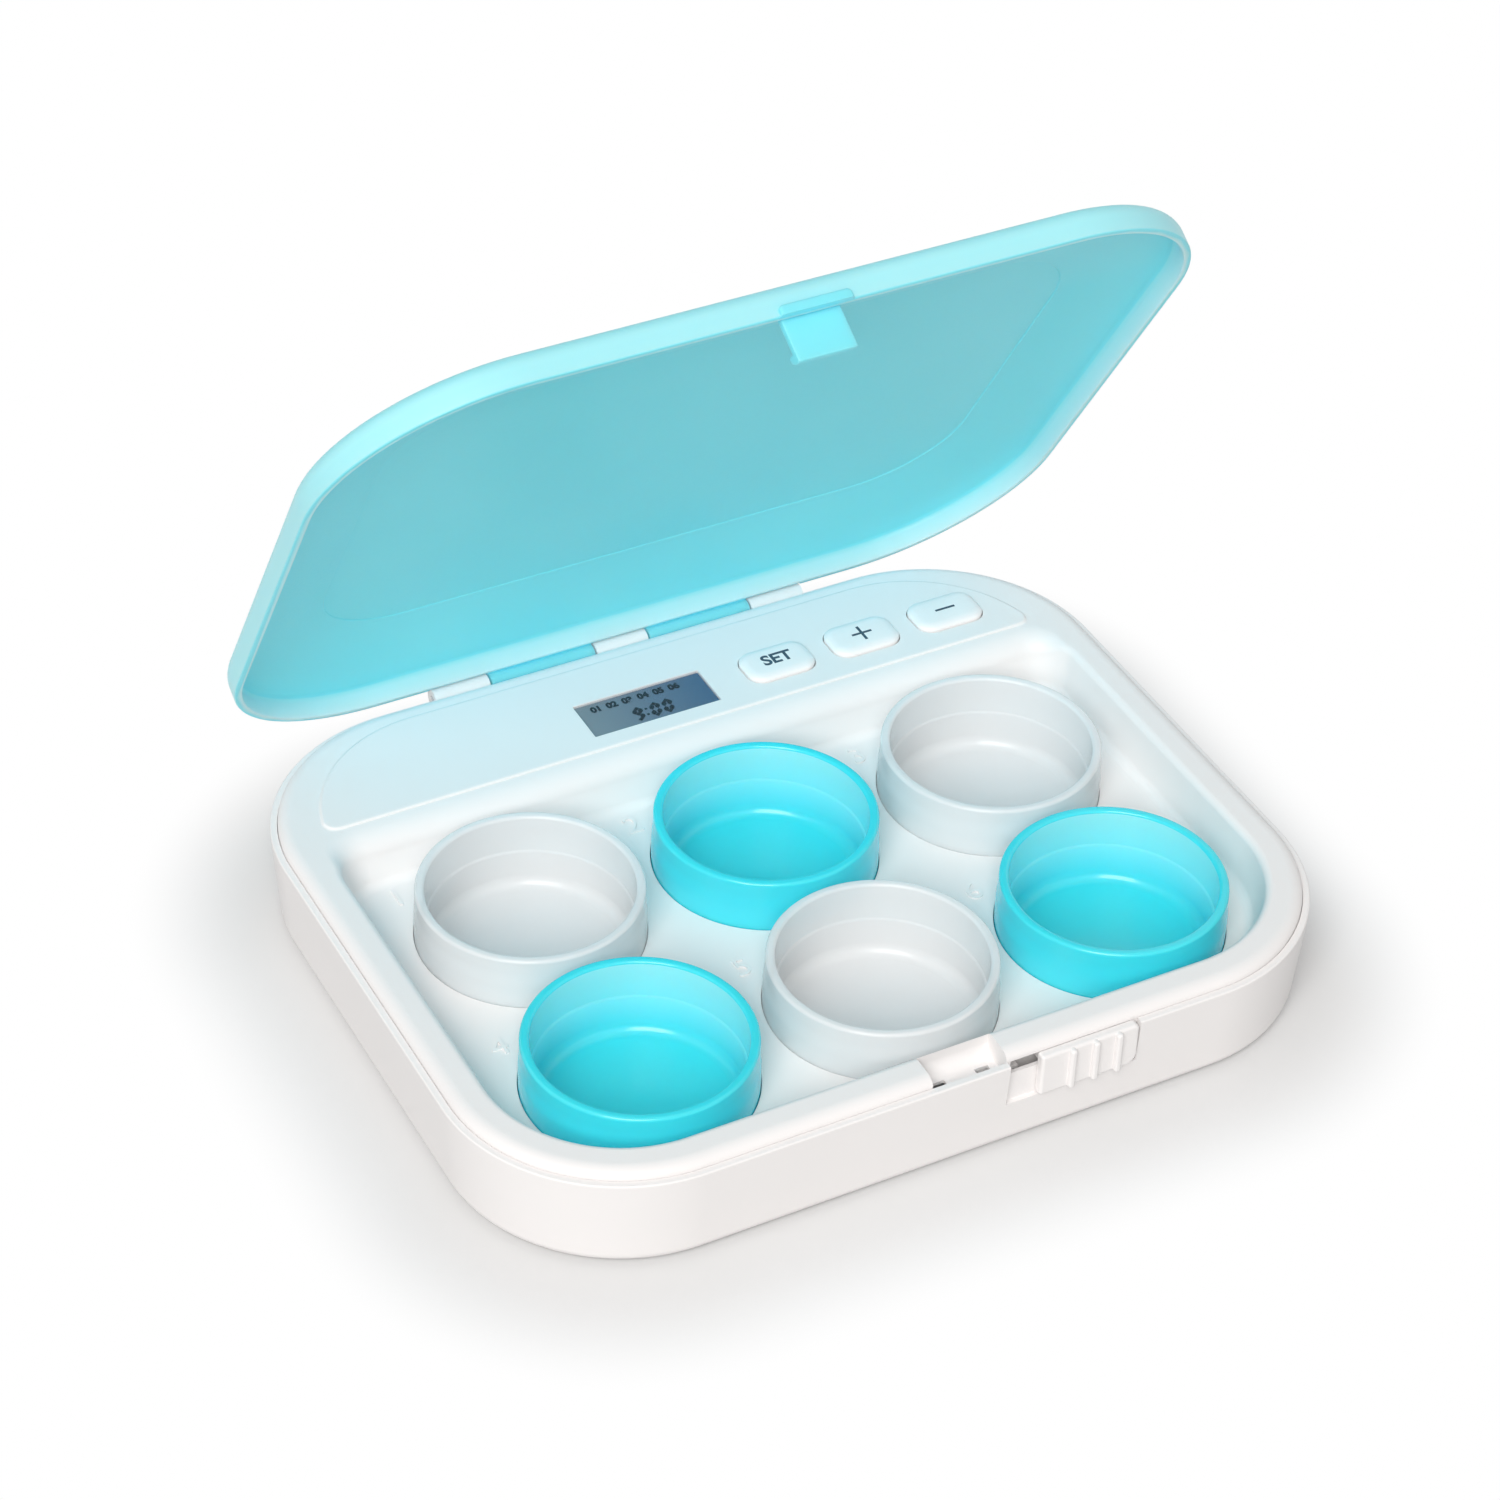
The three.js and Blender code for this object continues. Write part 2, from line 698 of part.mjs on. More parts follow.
// Deck: the upper shell, from its skirt inside the case to the tray, the wells and the panel
function deck() {
  const outerGrow = -seatGap;
  const innerGrow = outerGrow - skirtWall;
  const skirtFoot = seamHeight - rebateDepth + seatGap;
  const outside = stack(footprint, [
    [outerGrow, skirtFoot],
    ...roundOver(outerGrow, rimHeight - shoulderDrop, shoulderReach, shoulderDrop),
  ]);
  const inside = stack(footprint, [
    [innerGrow, skirtFoot - overrun], [innerGrow, deckUnderside - shoulderDrop / 2],
    [innerGrow - shoulderReach / 2, deckUnderside],
  ]);
  const tubFoot = trayFloorHeight - deckWall;
  const tub = stack(trayPlan, [
    [deckWall - trayTaper - trayFootRadius, tubFoot],
    [deckWall - trayTaper, tubFoot + trayFootRadius],
    [deckWall, deckUnderside + deckWall / 2],
  ]);
  const backBeam = block(
    -trayHalf, trayHalf, trayBack, trayBack + trayBackSlope + deckWall / 2,
    deckUnderside - trayBackDrop, deckUnderside + deckWall / 2);
  const wells = cupPlaces.map(([x, y]) => wellColumn(
    x, y, wellFloorHeight - wellWall, trayFloorHeight - deckWall / 2, wellRadius + wellWall));
  const shell = join(
    cut(outside, inside), tub, backBeam, ...wells, controlPlateau(), ...deckPosts(), notchShelf());
  return piece("deck", cut(
    shell, trayHollow(),
    ...cupPlaces.map(([x, y]) => wellColumn(
      x, y, wellFloorHeight, trayFloorHeight + overrun, wellRadius)),
    ...displayOpening(), ...buttonOpenings(), ...deckScrewHoles(), ...deckLatchCuts(),
  ), "whiteShell");
}

function wellColumn(x, y, z0, z1, radius) {
  return column(x, y, z0, z1, radius, radius, roundSteps);
}

// The tray's hollow: its lip rolls in over a small radius, and over a wide one at the back
function trayHollow() {
  const outline = ring(trayPlan, 0);
  const backness = (p) => THREE.MathUtils.smoothstep(p.out.y, backTurnShare, 1);
  const mix = (p, side, back) => THREE.MathUtils.lerp(side, back, backness(p));
  const rollRing = (angle) => outline.map((p) => {
    const reach = mix(p, trayLipRadius, trayBackSlope) * (1 - Math.sin(angle));
    const drop = mix(p, trayLipRadius, trayBackDrop) * (1 - Math.cos(angle));
    return [p.x + p.out.x * reach, p.y + p.out.y * reach, rimHeight - drop];
  });
  const above = rollRing(0).map(([x, y]) => [x, y, rimHeight + overrun]);
  const roll = Array.from({ length: edgeSteps + 1 }, (_, i) => rollRing(i / edgeSteps * Math.PI / 2));
  const foot = Array.from({ length: edgeSteps }, (_, i) => {
    const angle = i / (edgeSteps - 1) * Math.PI / 2;
    const grow = -trayTaper - trayFootRadius * (1 - Math.cos(angle));
    const z = trayFloorHeight + trayFootRadius * (1 - Math.sin(angle));
    return ring(trayPlan, grow).map((p) => [p.x, p.y, z]);
  });
  return loft([above, ...roll, ...foot]);
}

// The control panel's low plateau, with a round back that follows the case's corners
function controlPlateau() {
  const middleX = panelHalf - panelRadius;
  const middleY = panelBack - panelRadius;
  const start = Math.asin((panelFront + panelFrontRadius - middleY) / panelRadius);
  const startX = middleX + panelRadius * Math.cos(start);
  const shape = new THREE.Shape();
  shape.moveTo(startX, panelFront + panelFrontRadius);
  shape.absarc(middleX, middleY, panelRadius, start, Math.PI / 2, false);
  shape.absarc(-middleX, middleY, panelRadius, Math.PI / 2, Math.PI - start, false);
  shape.quadraticCurveTo(-startX, panelFront, panelFrontRadius - startX, panelFront);
  shape.lineTo(startX - panelFrontRadius, panelFront);
  shape.quadraticCurveTo(startX, panelFront, startX, panelFront + panelFrontRadius);
  return raised(shape, rimHeight - deckWall / 2, panelTop);
}

// Screw bosses over those of the case, and posts under the panel that hold the circuit board
function deckPosts() {
  const top = rimHeight - deckWall / 2;
  const trayTop = trayFloorHeight - deckWall / 2;
  const bosses = screwPlaces.map(([x, y]) => column(
    x, y, bossTop + touchGap, y < 0 ? trayTop : top, deckBossRadius));
  return [...bosses, ...boardPosts.map(([x, y]) => column(x, y, onBoard, top, boardPostRadius))];
}

function deckScrewHoles() {
  const tip = screwSink + screwHeadHeight + screwLength;
  const boardTip = boardLevel + boardScrewLength;
  return [
    ...screwPlaces.map(([x, y]) => column(
      x, y, bossTop - overrun, tip + seatGap, screwRadius + touchGap)),
    ...boardPosts.map(([x, y]) => column(
      x, y, boardTop - overrun, boardTip + seatGap, boardScrewRadius + touchGap)),
  ];
}

function displayPlan(grow = 0) {
  const [hx, hy] = [lcdWidth / 2 + grow, lcdHeight / 2 + grow];
  return plan(
    lcdMiddleX - hx, lcdMiddleX + hx, controlRowY - hy, controlRowY + hy, windowBevel, 1);
}

// The window with its bevelled edge, and the seat under the panel that the lens drops into
function displayOpening() {
  const seat = lensTop + touchGap;
  return [
    stack(displayPlan(), [
      [0, deckUnderside - overrun], [0, seat + touchGap], [windowBevel, panelTop],
      [windowBevel, panelTop + overrun],
    ]),
    stack(displayPlan(lcdBorder + touchGap), [[0, deckUnderside - overrun], [0, seat]]),
  ];
}

function buttonPlan(x, grow = 0) {
  const [hx, hy] = [buttonWidth / 2 + grow, buttonDepth / 2 + grow];
  return plan(x - hx, x + hx, controlRowY - hy, controlRowY + hy, buttonRadius + grow,
    fineCornerSteps);
}

function buttonOpenings() {
  return buttonPositions.map((x) => stack(buttonPlan(x, buttonClearance), [
    [0, deckUnderside - overrun], [0, panelTop + overrun]]));
}

// The shelf under the notch in the front rim, behind the way of the lid's tongue
function notchShelf() {
  return block(-notchHalf - skirtWall, notchHalf + skirtWall, seatGap + skirtWall - halfDepth,
    trayFront - deckWall / 2, slotFoot - seatGap, rimHeight - deckWall / 2);
}

function deckLatchCuts() {
  const front = -(halfDepth + overrun);
  const top = rimHeight + overrun;
  const notchFloor = seamHeight - notchFloorDrop;
  const round = Array.from({ length: edgeSteps + 1 }, (_, i) => {
    const angle = i / edgeSteps * Math.PI / 2;
    return [
      notchBackY - notchRound * (1 - Math.sin(angle)), notchFloor + notchRound * (1 - Math.cos(angle)),
    ];
  });
  return [
    runAlongX([[front, notchFloor], ...round, [notchBackY, top], [front, top]],
      -notchHalf, notchHalf),
    block(-notchHalf, notchHalf, front, railFrontY, slotFoot - overrun, top),
    block(notchHalf - overrun, pocketEnd, front, railBackY + runningGap,
      slotFoot - overrun, seamHeight - touchGap),
  ];
}

// Lid, drawn closed
function lidSolid() {
  const innerTop = lidEdgeHeight - lidTopWall;
  const innerGrow = lidOverhang - lidWall;
  const edge = roundOver(lidOverhang, lidEdgeHeight - lidEdgeRadius, lidEdgeRadius, lidEdgeRadius);
  const innerEdge = roundOver(innerGrow, innerTop - lidInnerRadius, lidInnerRadius, lidInnerRadius);
  const level = (grow, z) => ring(footprint, grow).map((p) => [p.x, p.y, z]);
  const [crownX, crownY] = [halfLength - lidCrownSideInset, halfDepth - lidCrownFrontInset];
  const crown = (z) => ring(
    plan(-crownX, crownX, -crownY, crownY, cornerRadius - lidCrownCornerInset), 0)
    .map((p) => [p.x, p.y, z]);
  const outside = loft([
    level(lidOverhang, lipHeight), ...edge.map(([grow, z]) => level(grow, z)),
    crown(lidEdgeHeight + lidCrownRise),
  ]);
  const inside = loft([
    level(innerGrow, lipHeight - overrun), ...innerEdge.map(([grow, z]) => level(grow, z)),
    crown(innerTop + lidCrownRise),
  ]);
  const shell = join(cut(outside, inside), lidTongue(), lidCollar(), ...lidKnuckles());
  return cut(
    shell,
    ...lugSpans.map(([x0, x1]) => bar(
      x0 - runningGap, x1 + runningGap, hingeY, hingeZ, barrelRadius + runningGap)),
    bar(-hingeEnd - overrun, hingeEnd + overrun, hingeY, hingeZ, hingePinRadius + hingeRunningGap),
  );
}

function lidKnuckles() {
  const wallY = halfDepth + lidOverhang - lidWall / 2;
  return knuckleSpans.map(([x0, x1]) => {
    const [start, end] = [x0 + runningGap, x1 - runningGap];
    return bar(start, end, hingeY, hingeZ, barrelRadius).add(runAlongX([
      [wallY, lipHeight], [hingeY, lipHeight], [hingeY, hingeZ + barrelRadius],
      [wallY, lipHeight + knuckleWebRise],
    ], start, end));
  });
}

// The tongue hangs inside the lid's front wall and ends in two hooks that face the hinge
function lidTongue() {
  const bridgeFoot = lipHeight + collarHeight / 2;
  const bridgeTop = lidEdgeHeight - lidTopWall;
  const hookRoot = tongueBackY - tongueWall / 2;
  return join(
    block(tongueStart, tongueEnd, tongueFrontY, tongueBackY, tongueFoot, bridgeTop),
    block(tongueStart, tongueEnd, -halfDepth - lidOverhang / 2, tongueBackY, bridgeFoot, bridgeTop),
    ...hookStarts.map((x) => runAlongX([
      [hookRoot, tongueFoot], [tongueBackY, tongueFoot], [hookBackY, hookTop - hookHeight / 2],
      [hookBackY, hookTop], [hookRoot, hookTop],
    ], x, x + hookWidth)),
  );
}

// A thicker collar on the outside of the lid's front edge, over the tongue
function lidCollar() {
  const half = tongueWidth / 2 + collarMargin;
  const radius = collarHeight / 2;
  const [x0, x1] = [collarMiddle - half, collarMiddle + half];
  const shape = new THREE.Shape();
  shape.moveTo(x0, lipHeight);
  shape.lineTo(x1, lipHeight);
  shape.absarc(x1 - radius, lipHeight + radius, radius, 0, Math.PI / 2, false);
  shape.absarc(x0 + radius, lipHeight + radius, radius, Math.PI / 2, Math.PI, false);
  return facing(shape, -halfDepth - lidOverhang / 2, -halfDepth - lidOverhang - collarRise);
}

// A shape drawn in X and Z, seen from the front, as a slab from the back face to the front face
function facing(shape, backY, frontY) {
  const geometry = new THREE.ExtrudeGeometry(shape, {
    depth: backY - frontY, bevelEnabled: false, curveSegments: edgeSteps,
  });
  geometry.rotateX(Math.PI / 2);
  geometry.translate(0, backY, 0);
  return solid(geometry);
}

function lid() {
  const aboutHinge = lidSolid().translate([0, -hingeY, -hingeZ]);
  const swing = new THREE.Group();
  swing.position.set(0, hingeY, hingeZ);
  swing.rotation.x = -THREE.MathUtils.degToRad(lidOpenAngle);
  swing.add(piece("lid", aboutHinge, "lid"));
  return swing;
}

function hingePin() {
  return piece("hinge_pin", bar(-hingeEnd, hingeEnd, 0, 0, hingePinRadius), "steel",
    [0, hingeY, hingeZ]);
}

// The latch slider: a ribbed thumb plate, a web through the slot and the toothed rail behind it
function latchSlider() {
  const plateBack = pocketFloorY - touchGap;
  const plateFront = plateBack - sliderWall;
  const ribMiddle = (sliderStart + sliderEnd) / 2 + ribOffset;
  const webTop = seamHeight - runningGap;
  const ribs = Array.from({ length: sliderRibCount }, (_, i) => {
    const x = ribMiddle + (i - (sliderRibCount - 1) / 2) * sliderRibPitch - sliderRibWidth / 2;
    return block(x, x + sliderRibWidth, plateFront - sliderRibRise, plateBack,
      sliderFoot + sliderEdgeRadius, sliderTop - sliderEdgeRadius);
  });
  const catchWidth = hookWidth - runningGap;
  const catchStarts = hookStarts.map((x) => x + runningGap / 2 + sliderTravel);
  const body = join(
    thumbPlate(plateBack, plateFront), ...ribs,
    block(webStart, webEnd, plateBack - sliderWall / 2, railBackY, slotFoot + runningGap, webTop),
    block(webStart, webEnd, railFrontY, railBackY, railFoot, webTop),
    block(catchStarts[0], webEnd, railFrontY, railBackY, railFoot, railTop),
    ...catchStarts.map((x) => block(x, x + catchWidth, railFrontY - catchDepth, railBackY,
      hookTop + catchClearance, railTop)),
  );
  return piece("latch_slider", body, "whiteShell");
}

function thumbPlate(backY, frontY) {
  const r = sliderEdgeRadius;
  const quarter = Math.PI / 2;
  const shape = new THREE.Shape();
  shape.moveTo(sliderStart, sliderFoot + r);
  shape.absarc(sliderStart + r, sliderTop - r, r, Math.PI, quarter, true);
  shape.absarc(sliderEnd - r, sliderTop - r, r, quarter, 0, true);
  shape.absarc(sliderEnd - r, sliderFoot + r, r, 0, -quarter, true);
  shape.absarc(sliderStart + r, sliderFoot + r, r, -quarter, -Math.PI, true);
  return facing(shape, backY, frontY);
}

// Cups, all alike: an open pot with a collar round its rim and a fine step inside
function cupSolid() {
  const height = cupRimHeight - wellFloorHeight - seatGap;
  const body = cupRadius + cupBodyGrow;
  const inner = cupRadius - cupWall;
  const lower = inner - cupStepWidth;
  const rim = cupWall / 3;
  return turned([
    [0, 0], [body - cupFootRadius, 0], [body, cupFootRadius], [body, height - cupCollarHeight],
    [cupRadius, height - cupCollarHeight + cupBodyGrow], [cupRadius, height - rim],
    [cupRadius - rim, height], [inner + rim, height], [inner, height - rim],
    [inner, height - cupStepDepth], [lower, height - cupStepDepth - cupStepWidth],
    [lower, cupFloor + cupFootRadius], [lower - cupFootRadius, cupFloor], [0, cupFloor],
  ]);
}

function cups() {
  const body = cupSolid();
  return cupPlaces.map(([x, y], i) => {
    return piece(`cup_${i + 1}`, body, i % 2 ? "blueCup" : "clearCup",
      [x, y, wellFloorHeight + seatGap]);
  });
}

// The battery door keeps the case's own outline, so it carries on the rounded bottom edge
function batteryDoor() {
  const beyond = halfDepth + caseLip + overrun;
  const middleX = (doorStart + doorEnd) / 2;
  const gripY = doorLipY - gripInset;
  const gripStraight = (gripLength - gripWidth) / 2;
  const grip = (x) => column(x, gripY, -overrun, gripDepth, gripWidth / 2);
  const shape = join(
    block(doorStart + doorGap, doorEnd - doorGap, doorFrontY + doorGap, beyond, 0, doorWall),
    block(doorStart + doorGap, doorEnd - doorGap, doorLipY + doorGap, beyond, 0,
      doorLipHeight - doorGap),
    block(doorStart - doorRail + doorGap, doorEnd + doorRail - doorGap, doorFrontY + doorGap,
      doorLipY, doorWall - doorRailHeight + doorGap, doorWall),
  );
  return piece("battery_door", cut(
    shape.intersect(caseForm()), grip(middleX - gripStraight), grip(middleX + gripStraight),
    block(middleX - gripStraight, middleX + gripStraight, gripY - gripWidth / 2,
      gripY + gripWidth / 2, -overrun, gripDepth),
  ), "whiteShell");
}

// The two cells lie opposite ways round
function cells() {
  const half = cellLength / 2;
  const shoulder = half - cellTipLength;
  const chamfer = cellTipLength / 2;
  const body = turned([
    [0, -half], [cellRadius - chamfer, -half], [cellRadius, chamfer - half],
    [cellRadius, shoulder - chamfer], [cellRadius - chamfer, shoulder], [cellTipRadius, shoulder],
    [cellTipRadius, half], [0, half],
  ], smallSteps);
  return [cellFrontY, cellBackY].map((y, i) => piece(
    `battery_${i + 1}`, body.rotate([0, i === 0 ? quarterTurn : -quarterTurn, 0]), "cell",
    [cellMiddleX, y, cellLevel]));
}

// Contacts stand against the bay's end walls, each spring drawn as a low cone
function batteryContacts() {
  const foot = caseFloor + seatGap;
  const top = foot + contactHeight;
  const leftX = bayStart + touchGap;
  const rightX = bayEnd - touchGap;
  const plate = (x0, y) => block(
    x0, x0 + contactWall, y - contactWidth / 2, y + contactWidth / 2, foot, top);
  const tab = (x0, y) => block(
    x0, x0 + contactWall, y - tabWidth / 2, y + tabWidth / 2, foot, boardLevel - seatGap);
  const spring = column(0, 0, 0, springLift + contactWall / 2, springRadius, springRadius / 2);
  const strap = block(leftX, leftX + contactWall, cellFrontY, cellBackY,
    caseFloor + ribHeight + seatGap, top);
  return [
    piece("contact_link", join(
      plate(leftX, cellFrontY), plate(leftX, cellBackY), strap,
      spring.rotate([0, quarterTurn, 0]).translate([leftX + contactWall / 2, cellFrontY, cellLevel]),
    ), "steel"),
    piece("contact_positive", join(
      plate(rightX - contactWall, cellFrontY), tab(rightX - contactWall, cellFrontY),
    ), "steel"),
    piece("contact_negative", join(
      plate(rightX - contactWall, cellBackY), tab(rightX - contactWall, cellBackY),
      spring.rotate([0, -quarterTurn, 0]).translate([rightX - contactWall / 2, cellBackY, cellLevel]),
    ), "steel"),
  ];
}

function circuitBoard() {
  const outline = plan(
    boardStart, boardEnd, boardFront, boardBack, boardCornerRadius, fineCornerSteps);
  const holes = boardPosts.map(([x, y]) => column(
    x, y, boardLevel - overrun, boardTop + overrun, boardScrewRadius + seatGap));
  const board = cut(stack(outline, [[0, boardLevel], [0, boardTop]]), ...holes);
  const under = boardLevel - touchGap;
  return [
    piece("circuit_board", board, "board"),
    piece("chip_blob", column(
      chipX, chipY, under - chipHeight, under, chipTopRadius, chipRadius), "chip"),
    piece("crystal", bar(
      chipX - crystalLength / 2, chipX + crystalLength / 2, crystalY, under - crystalRadius,
      crystalRadius), "steel"),
    piece("buzzer", wellColumn(buzzerX, buzzerY, under - buzzerHeight, under, buzzerRadius), "buzzer"),
  ];
}

// The display: glass in a holder on the board, a conductive strip under it and a lens over it
function display() {
  const at = (grow) => displayPlan(lcdBorder + grow);
  const holder = cut(
    stack(at(seatGap + holderWall), [[0, onBoard], [0, glassTop]]),
    stack(at(seatGap), [[0, onBoard - overrun], [0, glassTop + overrun]]),
  );
  const stripY = controlRowY + glassHalfY - zebraInset;
  return [
    piece("lcd_lens", stack(at(0), [[0, lensFoot], [0, lensTop]]), "lens"),
    piece("lcd_glass", stack(at(0), [[0, glassFoot], [0, glassTop]]), "display"),
    piece("lcd_holder", holder, "holder"),
    piece("zebra_strip", block(
      lcdMiddleX - glassHalfX + zebraInset, lcdMiddleX + glassHalfX - zebraInset,
      stripY - zebraWall, stripY, onBoard, glassFoot - touchGap), "zebra"),
  ];
}

function buttons() {
  const names = ["button_set", "button_plus", "button_minus"];
  return buttonPositions.map((x, i) => {
    const cap = stack(buttonPlan(x), [
      [buttonFlange, flangeFoot], [buttonFlange, flangeTop], [0, flangeTop],
      ...roundOver(0, panelTop + buttonRise - buttonEdgeRadius, buttonEdgeRadius, buttonEdgeRadius,
        fineEdgeSteps),
    ]);
    const stem = column(x, controlRowY, stemFoot, flangeTop, buttonStemRadius);
    return piece(names[i], join(cap, stem), "button");
  });
}

function keyMembrane() {
  const margin = buttonFlange + membraneMargin;
  const start = buttonPositions[0] - buttonWidth / 2 - margin;
  const end = buttonPositions[buttonPositions.length - 1] + buttonWidth / 2 + margin;
  const front = controlRowY - buttonDepth / 2 - margin;
  const back = controlRowY + buttonDepth / 2 + margin;
  const top = onBoard + membraneWall;
  const domes = buttonPositions.map((x) => column(
    x, controlRowY, onBoard, domeTop, domeRadius, domeTopRadius));
  return piece("key_membrane", join(
    stack(plan(start, end, front, back, membraneMargin, 1), [[0, onBoard], [0, top]]), ...domes,
  ), "membrane");
}

function screwSolid(headRadius, headHeight, radius, length) {
  return turned([
    [0, 0], [headRadius, 0], [headRadius, headHeight / 2], [headRadius - headHeight / 3, headHeight],
    [radius, headHeight], [radius, headHeight + length - radius],
    [0, headHeight + length],
  ], smallSteps);
}

function screws() {
  const caseScrew = screwSolid(screwHeadRadius, screwHeadHeight, screwRadius, screwLength);
  const boardScrew = screwSolid(
    boardScrewHeadRadius, boardScrewHeadHeight, boardScrewRadius, boardScrewLength);
  return [
    ...screwPlaces.map((p, i) => piece(`case_screw_${i + 1}`, caseScrew, "steel", [...p, screwSink])),
    ...boardPosts.map((p, i) => piece(`board_screw_${i + 1}`, boardScrew, "steel",
      [...p, boardLevel - touchGap - boardScrewHeadHeight])),
  ];
}

function feet() {
  const pad = turned([
    [0, 0], [footRadius - footDrop / 2, 0], [footRadius, footDrop / 2], [footRadius, footWall],
    [0, footWall],
  ], smallSteps);
  return footPlaces.map((p, i) => piece(`foot_${i + 1}`, pad, "foot", [...p, -footDrop]));
}

const group = new THREE.Group();
group.add(
  bottomCase(), deck(), lid(), hingePin(), latchSlider(), ...cups(), batteryDoor(), ...cells(),
  ...batteryContacts(), ...circuitBoard(), ...display(), ...buttons(), keyMembrane(), ...screws(),
  ...feet(),
);
export default group;
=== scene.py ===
from math import asin, cos, degrees, hypot, pi, radians, sin

import bmesh
import bpy
from mathutils import Matrix, Vector


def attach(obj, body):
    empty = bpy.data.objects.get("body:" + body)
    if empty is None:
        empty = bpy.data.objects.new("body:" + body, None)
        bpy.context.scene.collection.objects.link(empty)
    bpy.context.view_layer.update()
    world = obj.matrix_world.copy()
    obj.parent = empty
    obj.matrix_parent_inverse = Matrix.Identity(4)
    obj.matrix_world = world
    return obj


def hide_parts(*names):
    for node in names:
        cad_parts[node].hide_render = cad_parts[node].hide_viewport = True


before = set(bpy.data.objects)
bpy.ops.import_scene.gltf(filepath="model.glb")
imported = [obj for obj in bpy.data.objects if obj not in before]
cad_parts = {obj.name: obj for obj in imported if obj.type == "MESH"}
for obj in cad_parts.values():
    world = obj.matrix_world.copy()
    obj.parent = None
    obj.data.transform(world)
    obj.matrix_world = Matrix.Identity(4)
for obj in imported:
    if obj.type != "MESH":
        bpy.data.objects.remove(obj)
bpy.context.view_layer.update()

MM = 0.001

# Sizes in millimetres, the same as the frame's

half_length, half_depth, corner_radius = 80, 64.2, 31
seam_height, rim_height, cup_rim_height = 18.6, 20.4, 21.3
tray_floor_height, lid_edge_height = 11.3, 25
seat_gap, running_gap, touch_gap, door_gap, overrun = 0.3, 0.4, 0.1, 0.2, 1

case_lip, case_wall, case_floor, case_draft = 1.3, 2, 2.4, 1.1
case_edge_radius, rebate_depth, lip_round = 2.2, 2.7, 0.35

deck_wall, skirt_wall, shoulder_reach, shoulder_drop = 1.6, 1.3, 2.4, 1.5
tray_rim, tray_back, tray_back_radius, tray_taper = 6.7, 31.5, 7, 1.2
tray_foot_radius, tray_lip_radius = 2, 1.5
tray_back_slope, tray_back_drop, back_turn_share = 5.3, 4.2, 0.35

panel_rise, panel_front, panel_back, panel_half = 0.4, 36.9, 60.2, 71.8
panel_radius, panel_front_radius = 26.5, 2.6

cup_radius, cup_wall, cup_floor, cup_collar_height = 20, 1.7, 1.3, 4.6
cup_body_grow, cup_step_depth, cup_step_width, cup_foot_radius = 0.25, 7.6, 0.4, 2.2
# The last size on the next line is how high a cup's inside is painted paler: painted light
cup_collar_drop, cup_collar_slope, cup_painted_glow_height = 1.5, 3.5, 12
cup_pitch_x, cup_pitch_y, cup_row_middle = 45.9, 42.4, -13.2
well_floor_height, well_wall, well_clearance, well_mouth, well_foot = 4.6, 1.3, 0.12, 0.15, 0.8
number_size, number_left, number_back, number_wall, number_sink = 6.2, 17.6, 17.2, 0.45, 0.1

lid_overhang, lid_wall, lid_top_wall, lid_edge_radius, lid_inner_radius = 1.5, 1.5, 1.8, 3, 1.4
lid_crown_rise, lid_crown_half, lid_crown_half_depth, lid_crown_radius = 3.8, 63.8, 43.5, 19
# The last two shares on the next line paint the lid's side wall paler, outside and in: painted
# light
lid_open_angle, lid_crown_step, lid_painted_glow_share, lid_inner_painted_glow_share = 58.5, 0.25, 0.36, 0.75

hinge_y, hinge_z, barrel_radius, hinge_pin_radius, hinge_pin_edge = 66.8, 17.6, 2, 0.75, 0.25
hinge_pin_gap, hinge_running_gap = 0.05, 0.1
middle_lug_half, knuckle_length, end_lug_length = 5.3, 21.8, 11
lug_web_height, knuckle_web_rise = 6, 2.4

tongue_middle, tongue_width, tongue_wall, tongue_edge = 0, 10.7, 1.5, 0.25
tongue_set_back, tongue_reach = 0.4, 7.2
hook_depth, hook_height, hook_width = 1.4, 1.9, 2.4
collar_height, collar_rise, collar_margin, collar_middle, collar_edge = 1.8, 0.9, 1.2, 0.45, 0.5
notch_half, notch_floor_drop, notch_back_y, notch_round = 7, 2.7, -58, 2.6
slider_travel, slider_length, slider_height, slider_foot, slider_wall = 5.5, 19, 8.6, 10, 1.8
slider_rib_count, slider_rib_pitch, slider_rib_width, slider_face_edge = 3, 4.5, 1.2, 0.6
slider_edge_radius, rib_offset, rib_rise, rib_end_round, web_inset = 0.8, 0.8, 0.9, 0.5, 4
pocket_start, pocket_depth, slot_height = 7.1, 1, 3
rail_wall, rail_height, catch_depth, catch_height, catch_clearance = 1.2, 3, 1.5, 1.1, 0.3

cell_radius, cell_length, cell_tip_radius, cell_tip_length, cell_band = 5.25, 44.5, 1.9, 0.8, 11
cell_middle_x, cell_front_y, cell_pitch_y, film_edge, film_inset = -25, 43.4, 11.3, 0.45, 0.2
contact_wall, contact_space, contact_width, contact_height, contact_edge = 0.4, 2.6, 8.6, 8, 0.12
stud_radius, stud_rise, tab_width = 1.5, 0.35, 2
spring_lift, spring_radius, spring_tip_share, spring_wire, spring_turns = 1.9, 2.6, 0.7, 0.22, 2.75
bay_wall, bay_wall_height, rib_height = 1.4, 8.4, 5.6
door_wall, door_front_y, door_lip_height, door_rail, door_rail_height = 1.7, 37.6, 7.2, 1.2, 0.8
grip_length, grip_width, grip_depth, grip_inset = 14, 6, 0.5, 5
grip_rib_count, grip_pitch, grip_rib_width, grip_rib_edge = 3, 1.5, 0.6, 0.14

board_wall, board_level = 1.2, 14.2
board_posts = [(-22.6, 49.05), (12.7, 53.8), (60.5, 53.8)]
board_post_radius, board_screw_radius, board_screw_length = 2, 0.8, 4
board_screw_head_radius, board_screw_head_height = 1.7, 0.9

